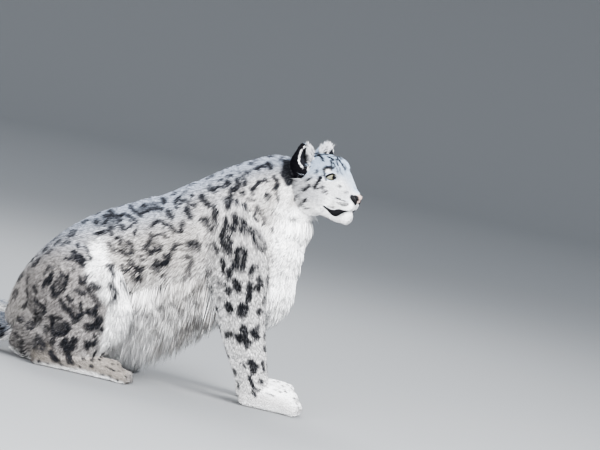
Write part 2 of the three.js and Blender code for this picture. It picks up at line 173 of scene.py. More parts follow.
def carried(points: Array, place: Array) -> Array:
    """Points carried by a 4 by 4 matrix."""
    return points @ place[:3, :3].T + place[:3, 3]


HEAD = move(*HEAD_AT) @ turn("Z", HEAD_YAW) @ turn("Y", -HEAD_PITCH) @ turn("X", HEAD_ROLL)


def ear_place(side: float) -> Array:
    """Where an ear's own frame stands in the design frame: z up the ear, x out of its opening."""
    at = move(EAR_AT[0], side * EAR_AT[1], EAR_AT[2])
    return HEAD @ at @ turn("X", -side * EAR_TILT) @ turn("Z", EAR_TURN)


def eye_place(side: float, outward: float = EYE_TURN) -> Array:
    """Where an eye's own frame stands in the design frame: x out of the lids or along the gaze, z up."""
    return HEAD @ move(EYE_AT[0], side * EYE_AT[1], EYE_AT[2]) @ turn("Z", side * outward)


@dataclass(frozen=True)
class Fur:
    """How the coat grows on one form.

    Attributes:
        along: how far the hair follows the form's path.
        down: how far it falls straight down.
        start: its length above, at the side and below, where the path starts, in millimetres.
        end: the same where the path ends.
        tones: its ground colour above, at the side and below, some with painted light in them.
        width: a tuft's width in millimetres.
        lift: how high a tuft's tip stands, as a share of its length.
    """

    along: float
    down: float
    start: tuple[float, float, float]
    end: tuple[float, float, float]
    tones: tuple[Tone, Tone, Tone]
    width: float = 3.0
    lift: float = 0.26


@dataclass(frozen=True)
class Form:
    """A rounded body along a path, the same as in the solids.

    Attributes:
        name: what it is.
        stations: rows of x, y, z, half width, half height above and half height below, in millimetres.
        over: the direction that counts as above.
        ends: how far the round ends stand past the path.
        square: 2 for a round section, more for a squarer one.
        depth: how far the skin lies inside the solids where the path starts and ends.
        fur: how the coat grows on it.
        place: the frame that it stands in.
    """

    name: str
    stations: tuple[tuple[float, ...], ...]
    fur: Fur
    over: tuple[float, float, float] = (0.0, 0.0, 1.0)
    ends: tuple[float, float] = (20.0, 20.0)
    square: float = 2.0
    depth: tuple[float, float] = (8.0, 8.0)
    place: Array = field(default_factory=lambda: np.eye(4))

    DOME = (80.0, 62.0, 43.0, 22.0)
    STEP = 0.09
    SEARCH = 49

    def row(self, t: Array) -> Array:
        """The station's six numbers at each t."""
        return smooth_line(np.array(self.stations, float), t)

    def axes(self, t: Array) -> tuple[Array, Array, Array]:
        """The directions ahead along the path, to the left and above, at each t.

        Args:
            t: places along the path, from 0 to 1.

        Returns:
            Three arrays of directions.
        """
        after, before = self.row(np.minimum(t + self.STEP, 1)), self.row(np.maximum(t - self.STEP, 0))
        ahead = unit(after[:, :3] - before[:, :3])
        side = unit(np.cross(np.array(self.over, float), ahead))
        return ahead, side, np.cross(ahead, side)

    def inset(self, t: Array) -> Array:
        """How deep the skin lies at each t."""
        return self.depth[0] + (self.depth[1] - self.depth[0]) * t

    def surface(self, rings: int, sides: int) -> tuple[Array, Array]:
        """The skin of this form as a closed grid of quads, with a fan of triangles at each end.

        A point is the path's centre, plus the side axis times the half width times a signed power of the
        cosine of its angle, plus the upper axis times the half height times the same power of its sine. The
        round ends are rings that shrink as a cosine while they move on as a sine.

        Args:
            rings: steps along the path.
            sides: points in one section.

        Returns:
            The points in the design frame and the faces as rows of three corners.
        """
        dome = np.radians(self.DOME)
        t = np.concatenate([np.zeros(len(dome)), np.linspace(0, 1, rings + 1), np.ones(len(dome))])
        scale = np.concatenate([np.cos(dome), np.ones(rings + 1), np.cos(dome[::-1])])
        start, end = self.ends[0] - self.depth[0], self.ends[1] - self.depth[1]
        shift = np.concatenate([-start * np.sin(dome), np.zeros(rings + 1), end * np.sin(dome[::-1])])
        row, (ahead, side, up) = self.row(t), self.axes(t)
        angle = 2 * np.pi * np.arange(sides) / sides
        power = 2 / self.square
        c = np.sign(np.cos(angle)) * np.abs(np.cos(angle)) ** power
        s = np.sign(np.sin(angle)) * np.abs(np.sin(angle)) ** power
        inset = self.inset(t)[:, None]
        wide = c[None] * (row[:, 3:4] - inset) * scale[:, None]
        tall = s[None] * (np.where(s[None] > 0, row[:, 4:5], row[:, 5:6]) - inset) * scale[:, None]
        middle = row[:, :3] + ahead * shift[:, None]
        grid = middle[:, None] + side[:, None] * wide[..., None] + up[:, None] * tall[..., None]
        poles = np.stack([row[0, :3] - ahead[0] * start, row[-1, :3] + ahead[-1] * end])
        points = np.concatenate([grid.reshape(-1, 3), poles])
        return carried(points, self.place), tube_faces(len(t), sides)

    def locate(self, points: Array) -> tuple[Array, Array, Array]:
        """Where points lie in this form.

        The nearest of some places on the path is found, then moved by the distance ahead of it, and the
        offset there is read along the three axes.

        Args:
            points: places in the design frame.

        Returns:
            For each point its t, its angle in degrees, and its distance from the path as a share of the
            form's half size in that direction.
        """
        back = np.linalg.inv(self.place)
        local = carried(points, back)
        ts = np.linspace(0, 1, self.SEARCH)
        centres = self.row(ts)[:, :3]
        near = (centres ** 2).sum(1)[None] - 2 * local @ centres.T
        k = near.argmin(1)
        pace = np.linalg.norm(np.gradient(centres, ts, axis=0), axis=1)
        ahead = self.axes(ts)[0]
        t = np.clip(ts[k] + ((local - centres[k]) * ahead[k]).sum(1) / pace[k], 0, 1)
        row, (ahead, side, up) = self.row(t), self.axes(t)
        off = local - row[:, :3]
        along, wide, tall = (off * ahead).sum(1), (off * side).sum(1), (off * up).sum(1)
        wide = wide / row[:, 3]
        tall = tall / np.where(tall > 0, row[:, 4], row[:, 5])
        along = along / np.where(along > 0, self.ends[1], self.ends[0])
        return t, np.degrees(np.arctan2(tall, wide)), np.sqrt(wide ** 2 + tall ** 2 + along ** 2)


def tube_faces(rings: int, sides: int) -> Array:
    """Triangles of a tube of rings, closed by a pole at each end, which follow the ring points in order.

    Args:
        rings: how many rings.
        sides: how many points in each ring.

    Returns:
        The triangles.
    """
    i = np.arange(rings - 1)[:, None] * sides
    k = np.arange(sides)[None]
    n = (k + 1) % sides
    a, b, c, d = i + k, i + n, i + sides + n, i + sides + k
    walls = np.concatenate([np.stack([a, b, c], -1).reshape(-1, 3), np.stack([a, c, d], -1).reshape(-1, 3)])
    k, n = np.arange(sides), (np.arange(sides) + 1) % sides
    first, last = rings * sides, rings * sides + 1
    top = (rings - 1) * sides
    start = np.stack([np.full(sides, first), n, k], -1)
    end = np.stack([np.full(sides, last), top + k, top + n], -1)
    return np.concatenate([walls, start, end])


def tube(path: Array, radii: Array, sides: int, flat: float = 1.0,
         wide: Array | None = None) -> tuple[Array, Array]:
    """A closed tube along a path: each ring is a circle of the radius there, across the path's tangent.

    Args:
        path: points along the middle.
        radii: the radius at each point.
        sides: points in one ring.
        flat: how thin it is across its width, as a share of its radius.
        wide: the direction of its width at each point.

    Returns:
        Its points and its triangles.
    """
    ahead = unit(np.gradient(path, axis=0))
    if wide is None:
        wide = np.cross(ahead, np.array([0.13, 0.21, 0.97]))
    wide = unit(wide - ahead * (wide * ahead).sum(1, keepdims=True))
    up = np.cross(wide, ahead)
    a = 2 * np.pi * np.arange(sides) / sides
    ring = wide[:, None] * np.cos(a)[None, :, None] + up[:, None] * (flat * np.sin(a))[None, :, None]
    grid = path[:, None] + ring * radii[:, None, None]
    points = np.concatenate([grid.reshape(-1, 3), path[[0]] - ahead[[0]] * radii[0] * 0.5,
                             path[[-1]] + ahead[[-1]] * radii[-1] * 0.5])
    return points, tube_faces(len(path), sides)[:, ::-1]


def joined(pieces: list[tuple[Array, Array]]) -> tuple[Array, Array]:
    """Several meshes as one: points end to end, and faces counted on.

    Args:
        pieces: the points and faces of each mesh.

    Returns:
        The points and faces of the whole.
    """
    starts = np.cumsum([0] + [len(p) for p, _ in pieces[:-1]])
    faces = [f + start for (_, f), start in zip(pieces, starts)]
    return np.concatenate([p for p, _ in pieces]), np.concatenate(faces)


class Bench:
    """Makes Blender meshes from arrays, in the frame of the solids."""

    def __init__(self, shift: Array) -> None:
        """Keeps the shift from the design frame to the frame of the solids, in millimetres."""
        self.shift = shift

    def mesh(self, name: str, points: Array, triangles: Array) -> bpy.types.Mesh:
        """A mesh of triangles, from points in the design frame.

        Args:
            name: its name.
            points: its points.
            triangles: its triangles.

        Returns:
            The mesh.
        """
        made = bpy.data.meshes.new(name)
        made.vertices.add(len(points))
        made.vertices.foreach_set("co", ((points + self.shift) * MM).astype(np.float32).ravel())
        made.loops.add(3 * len(triangles))
        made.loops.foreach_set("vertex_index", triangles.astype(np.int32).ravel())
        made.polygons.add(len(triangles))
        made.polygons.foreach_set("loop_start", np.arange(0, 3 * len(triangles), 3, dtype=np.int32))
        made.update(calc_edges=True)
        made.shade_smooth()
        return made

    def piece(self, name: str, points: Array, triangles: Array) -> bpy.types.Object:
        """An object that holds such a mesh, in the scene.

        Args:
            name: its name.
            points: its points.
            triangles: its triangles.

        Returns:
            The object.
        """
        made = bpy.data.objects.new(name, self.mesh(name, points, triangles))
        bpy.context.scene.collection.objects.link(made)
        return made

    def fused(self, pieces: list[tuple[Array, Array]], voxel: float, smooth: int,
              cutters: list[tuple[Array, Array]] | None = None) -> tuple[Array, Array, Array]:
        """Closed meshes fused into one even skin, with any cutters taken away, then smoothed.

        Args:
            pieces: closed meshes that overlap.
            voxel: the size of the skin's faces in millimetres.
            smooth: how many times each point moves half way to its neighbours' middle.
            cutters: closed meshes to take away.

        Returns:
            Points in the design frame, triangles, and a normal at each point.
        """
        body = self.piece("fusing", *joined(pieces))
        spare = [body]
        if cutters:
            knife = self.piece("cutting", *joined(cutters))
            spare.append(knife)
            for tool in (body, knife):
                whole = tool.modifiers.new("whole", "REMESH")
                whole.voxel_size = voxel * 0.6 * MM
            cut = body.modifiers.new("cut", "BOOLEAN")
            cut.object = knife
            cut.operation = "DIFFERENCE"
            cut.solver = "EXACT"
        even = body.modifiers.new("even", "REMESH")
        even.voxel_size = voxel * MM
        soft = body.modifiers.new("soft", "SMOOTH")
        soft.factor = 0.5
        soft.iterations = smooth
        bpy.context.view_layer.update()
        seen = body.evaluated_get(bpy.context.evaluated_depsgraph_get())
        mesh = bpy.data.meshes.new_from_object(seen)
        points, triangles, normals = self.arrays(mesh)
        bpy.data.meshes.remove(mesh)
        for tool in spare:
            bpy.data.meshes.remove(tool.data)
        return points, triangles, normals

    def arrays(self, mesh: bpy.types.Mesh) -> tuple[Array, Array, Array]:
        """A mesh's points in the design frame, its triangles, and its normals.

        Args:
            mesh: a mesh in metres.

        Returns:
            Points, triangles and normals.
        """
        points = np.empty(len(mesh.vertices) * 3, np.float32)
        mesh.vertices.foreach_get("co", points)
        normals = np.empty(len(mesh.vertices) * 3, np.float32)
        mesh.vertex_normals.foreach_get("vector", normals)
        mesh.calc_loop_triangles()
        triangles = np.empty(len(mesh.loop_triangles) * 3, np.int32)
        mesh.loop_triangles.foreach_get("vertices", triangles)
        place = points.reshape(-1, 3).astype(float) / MM - self.shift
        return place, triangles.reshape(-1, 3), normals.reshape(-1, 3).astype(float)


def paint(mesh: bpy.types.Mesh, colours: Array) -> None:
    """Puts a colour on each point of a mesh, as the attribute that the finishes read."""
    layer = mesh.color_attributes.new("hair_colour", "FLOAT_COLOR", "POINT")
    layer.data.foreach_set("color", np.c_[colours, np.ones(len(colours))].astype(np.float32).ravel())


# How the coat grows, region by region
T = Tone
TRUNK_FUR = Fur(-1.0, 0.46, (26, 34, 40), (30, 36, 46), (T.BACK, T.FLANK, T.WHITE), 2.5, 0.24)
NECK_FUR = Fur(-0.8, 0.55, (28, 36, 44), (22, 26, 36), (T.BACK, T.FLANK, T.WHITE), 2.3, 0.24)
THROAT_FUR = Fur(0.9, 0.2, (34, 32, 32), (56, 46, 44), (T.WHITE, T.WHITE, T.WHITE), 2.8, 0.3)
TAIL_FUR = Fur(1.0, 0.05, (34, 34, 26), (44, 44, 28), (T.BACK, T.BACK, T.FLANK), 3.2, 0.34)
THIGH_FUR = Fur(-0.6, 0.8, (24, 27, 30), (24, 26, 28), (T.HAUNCH, T.HAUNCH, T.FLANK), 2.4, 0.24)
SHANK_FUR = Fur(0.8, 0.4, (17, 20, 22), (16, 18, 20), (T.FOOT, T.HAUNCH, T.FLANK), 2.2)
FOOT_FUR = Fur(0.9, 0.3, (16, 16, 14), (10, 10, 10), (T.FOOT, T.FOOT, T.LEG), 1.9, 0.26)
LEG_FUR = Fur(0.9, 0.5, (24, 28, 26), (11, 12, 13), (T.LEG, T.LEG, T.WHITE), 2.1, 0.2)
PAW_FUR = Fur(0.9, 0.35, (10, 10, 10), (8, 8, 8), (T.WHITE, T.LEG, T.WHITE), 1.7, 0.2)
SKULL_FUR = Fur(-1.0, 0.25, (15, 18, 26), (4, 4, 5), (T.FACE, T.CHEEK, T.WHITE), 1.5, 0.2)
BROW_FUR = Fur(-1.0, 0.0, (9, 9, 9), (5, 5, 5), (T.FACE, T.FACE, T.CHEEK), 1.2, 0.18)
BRIDGE_FUR = Fur(-1.0, 0.0, (8, 8, 8), (3, 3, 3), (T.FACE, T.CHEEK, T.CHEEK), 1.1, 0.14)
MUZZLE_FUR = Fur(-1.0, 0.3, (5, 6, 7), (3, 3.5, 4), (T.CHEEK, T.WHITE, T.WHITE), 1.1, 0.16)
JAW_FUR = Fur(-1.0, 0.5, (12, 16, 22), (5, 6, 9), (T.WHITE, T.WHITE, T.WHITE), 1.5, 0.22)
EAR_FUR = Fur(1.0, 0.0, (9, 9, 9), (7, 7, 7), (T.EAR_BACK, T.EAR_BACK, T.EAR_BACK), 1.4, 0.2)


def head_forms() -> list[Form]:
    """The forms of the head, in its own frame: x ahead, y left, z up, from the midpoint between the eyes.

    Returns:
        The forms.
    """
    forms = [
        Form("skull", (
            (-112, 0, -22, 62, 58, 72), (-85, 0, -22, 75, 80, 82), (-52, 0, -20, 79, 87, 77),
            (-20, 0, -18, 68, 79, 73), (5, 0, -26, 47, 46, 60), (24, 0, -40, 33, 32, 45),
            (38, 0, -50, 20, 27, 33), (49, 0, -55, 13, 18, 21),
        ), SKULL_FUR, ends=(30, 4), square=2.2, depth=(10, 1.5), place=HEAD),
        Form("forehead", ((-40, 0, 18, 50, 42, 30), (-12, 0, 18, 41, 41, 30), (6, 0, 10, 27, 31, 24)),
             BROW_FUR, ends=(10, 8), depth=(4, 2.5), place=HEAD),
        Form("bridge", ((-16, 0, 16, 24, 26, 30), (6, 0, -2, 18, 21, 26), (30, 0, -22, 14, 15, 22),
                        (48, 0, -36, 13, 12, 18)),
             BRIDGE_FUR, ends=(10, 6), depth=(3, 1.5), place=HEAD),
        Form("jaw", ((-56, 0, -76, 42, 14, 17), (-22, 0, -82, 37, 15, 13), (6, 0, -90, 31, 14, 16),
                     (26, 0, -91, 25, 20, 18)),
             JAW_FUR, ends=(14, 12), square=2.3, depth=(5, 2), place=HEAD),
    ]
    for side in Side:
        s, tag = side.value, side.name.lower()
        forms += [
            Form(f"whisker_pad_{tag}", ((6, s * 20, -58, 17, 18, 20), (24, s * 19, -60, 18, 17, 18),
                                        (39, s * 13, -61, 13, 13, 13)),
                 MUZZLE_FUR, ends=(8, 8), depth=(2, 1.5), place=HEAD),
            Form(f"brow_{tag}", ((-30, s * 44, 24, 12, 12, 12), (-10, s * 35, 29, 13, 12, 12),
                                 (5, s * 23, 26, 11, 10, 10)),
                 BROW_FUR, ends=(8, 5), depth=(2, 2), place=HEAD),
            Form(f"upper_lip_{tag}", ((-24, s * 44, -66, 5, 6, 6), (-8, s * 40, -73, 5, 6, 6),
                                      (14, s * 34, -76, 5, 6, 6), (38, s * 20, -69, 5, 6, 6)),
                 MUZZLE_FUR, ends=(6, 6), depth=(1, 1), place=HEAD),
            Form(f"ear_{tag}", ((0, 0, -30, 30, 17, 46), (-1, 0, 2, 33, 17, 42), (-2, 0, 26, 29, 13, 25),
                                (-3, 0, 42, 19, 8, 12)),
                 EAR_FUR, over=(1, 0, 0), ends=(2, 9), depth=(2, 1.5), place=ear_place(s)),
        ]
    return forms


def leg_forms(side: Side) -> list[Form]:
    """The foreleg and hind leg of one side, with the soft seat behind the thigh.

    Args:
        side: left or right.

    Returns:
        The forms.
    """
    s, tag = side.value, side.name.lower()
    back = FAR_LEG_BACK if side is Side.LEFT else 0.0
    arm = ((-204, 84, 478, 42, 60, 56), (-170, 95, 396, 52, 84, 76), (-152, 96, 310, 52, 88, 74),
           (-124, 87, 226, 49, 70, 64), (-94, 80, 148, 45, 56, 54), (-68, LEG_SPREAD, 84, 43, 46, 44),
           (-52, LEG_SPREAD, 44, 43, 42, 40))
    paw = ((-66, LEG_SPREAD, 26, 38, 28, 34), (-30, LEG_SPREAD, 30, 44, 32, 40),
           (12, LEG_SPREAD, 29, 48, 33, 40), (47, LEG_SPREAD, 27, 49, 32, 38))
    own = [(x - back, s * y, *rest) for x, y, *rest in arm], [(x - back, s * y, *rest) for x, y, *rest in paw]
    spread = HOCK_SPREAD
    return [
        Form(f"foreleg_{tag}", tuple(own[0]), LEG_FUR, over=(1, 0, 0), ends=(24, 30),
             depth=(9, 4)),
        Form(f"forepaw_{tag}", tuple(own[1]), PAW_FUR, ends=(22, 20), depth=(3, 3)),
        Form(f"thigh_{tag}", ((-612, s * 84, 168, 56, 96, 104), (-556, s * 100, 194, 66, 116, 124),
                              (-500, s * 112, 218, 66, 106, 118), (-446, s * 120, 242, 52, 76, 92)),
             THIGH_FUR, ends=(40, 32), depth=(10, 9)),
        Form(f"seat_{tag}", ((-640, s * 62, 88, 46, 62, 70), (-590, s * 72, 70, 58, 78, 80),
                             (-530, s * 80, 66, 52, 70, 76)),
             THIGH_FUR, ends=(24, 26), depth=(9, 9)),
        Form(f"shank_{tag}", ((-440, s * 126, 200, 46, 48, 60), (-452, s * 130, 146, 47, 60, 74),
                              (-486, s * 130, 96, 44, 68, 78), (-540, s * spread, 58, 38, 56, 56)),
             SHANK_FUR, over=(1, 0, 0), ends=(20, 30), depth=(6, 5)),
        Form(f"hind_foot_{tag}", (
            (-590, s * spread, 26, 32, 30, 36), (-530, s * (spread + 2), 28, 34, 28, 36),
            (-460, s * (spread + 6), 28, 38, 26, 36), (-400, s * (spread + 10), 24, 44, 26, 34)),
             FOOT_FUR, ends=(20, 18), depth=(3, 3)),
    ]


def toe_forms(side: Side) -> list[Form]:
    """Four toes in a fan at the front of each paw of one side.

    Args:
        side: left or right.

    Returns:
        The forms.
    """
    s = side.value
    back = FAR_LEG_BACK if side is Side.LEFT else 0.0
    feet = (("forepaw", 82 - back, s * LEG_SPREAD, 23.0, 15.0),
            ("hind_foot", -350.0, s * (HOCK_SPREAD + 12), 20.0, 13.0))
    return [
        Form(f"{foot}_toe", (
            (tip - 34 - abs(k) * 8, y + k * size * 1.55, z, size, size * 1.15, size * 1.6),
            (tip - 14 - abs(k) * 7, y + k * size * 1.75, z - 3, size, size * 1.05, size * 1.6)),
             PAW_FUR, ends=(8, 15), depth=(2, 2))
        for foot, tip, y, z, size in feet for k in (-1.5, -0.5, 0.5, 1.5)
    ]


def trunk_forms() -> list[Form]:
    """The trunk, neck, throat and tail.

    Returns:
        The forms.
    """
    radius = TAIL_RADIUS
    curl = [(-640, 0, 96, radius + 6), (-692, 2, 66, radius + 2), (-752, 4, 46, radius)]
    for k in range(8):
        a = math.radians(-90 - 180 * k / 7)
        x, y = -800 + math.cos(a) * TAIL_TURN, 6 + TAIL_TURN + math.sin(a) * TAIL_TURN
        curl.append((x, y, radius + 1, radius + 1))
    curl += [(-728, 6 + TAIL_TURN * 2, radius, radius - 1), (-660, 2 + TAIL_TURN * 2, radius - 6, radius - 8)]
    return [
        Form("trunk", (
            (-655, 0, 92, 70, 56, 64), (-622, 0, 146, 102, 84, 104), (-565, 0, 214, 124, 108, 128),
            (-480, 0, 272, 134, 130, 138), (-380, 0, 322, 140, 136, 142), (-275, 0, 372, 134, 136, 150),
            (-175, 0, 398, 122, 136, 158), (-88, 0, 386, 102, 118, 148),
        ), TRUNK_FUR, ends=(34, 94), depth=(12, 13)),
        Form("neck", (
            (-310, 0, 384, 112, 112, 90), (-225, 0, 440, 112, 114, 110), (-150, 0, 488, 104, 118, 126),
            (-90, -4, 536, 88, 105, 116), (-44, -14, 560, 66, 89, 92),
        ), NECK_FUR, ends=(40, 24), depth=(12, 11)),
        Form("throat", (
            (-72, -18, 515, 66, 95, 50), (-84, -8, 450, 80, 91, 60), (-92, 0, 380, 92, 94, 60),
            (-98, 0, 315, 92, 100, 60), (-108, 0, 268, 74, 84, 50),
        ), THROAT_FUR, over=(1, 0, 0), ends=(16, 28), depth=(12, 15)),
        Form("tail", tuple((x, y, z, r, r, r) for x, y, z, r in curl), TAIL_FUR, ends=(10, 34),
             depth=(14, 14)),
    ]


@dataclass(frozen=True)
class Picture:
    """How the picture's pixels lie on the animal's side.

    The picture is turned by roll about the view, so that the slope that the animal sits on is level in the
    model. Left of the hinge its rear is turned a little more, so that the hind feet reach the floor.
    """

    width: float = 600.0
    height: float = 450.0
    pixel: float = 2.5
    roll: float = 12.0
    rise: float = 4.0
    origin: tuple[float, float] = (270.0, 409.0)
    hinge: tuple[float, float] = (238.0, 240.0)
    droop: float = 5.0
    droop_span: float = 110.0

    def place(self, x: Array, y: Array, droops: bool = True) -> tuple[Array, Array]:
        """The design X and the height across the view of pixels.

        Args:
            x: pixels from the left.
            y: pixels from the top.
            droops: whether the turn of the rear is applied.

        Returns:
            X, and Z as seen from the camera's height.
        """
        u, v = (x - self.origin[0]) * self.pixel, (self.origin[1] - y) * self.pixel
        pu, pv = (self.hinge[0] - self.origin[0]) * self.pixel, (self.origin[1] - self.hinge[1]) * self.pixel
        edge = self.hinge[0] - 10
        d = np.radians(self.droop) * smoothstep(edge - x, 0, self.droop_span) * droops
        du, dv = u - pu, v - pv
        u, v = pu + du * np.cos(d) - dv * np.sin(d), pv + du * np.sin(d) + dv * np.cos(d)
        r = math.radians(self.roll)
        return u * math.cos(r) - v * math.sin(r), u * math.sin(r) + v * math.cos(r)

    def seen_height(self, points: Array) -> Array:
        """The height of points as the raised camera sees it."""
        e = math.radians(self.rise)
        return points[:, 2] * math.cos(e) + points[:, 1] * math.sin(e)


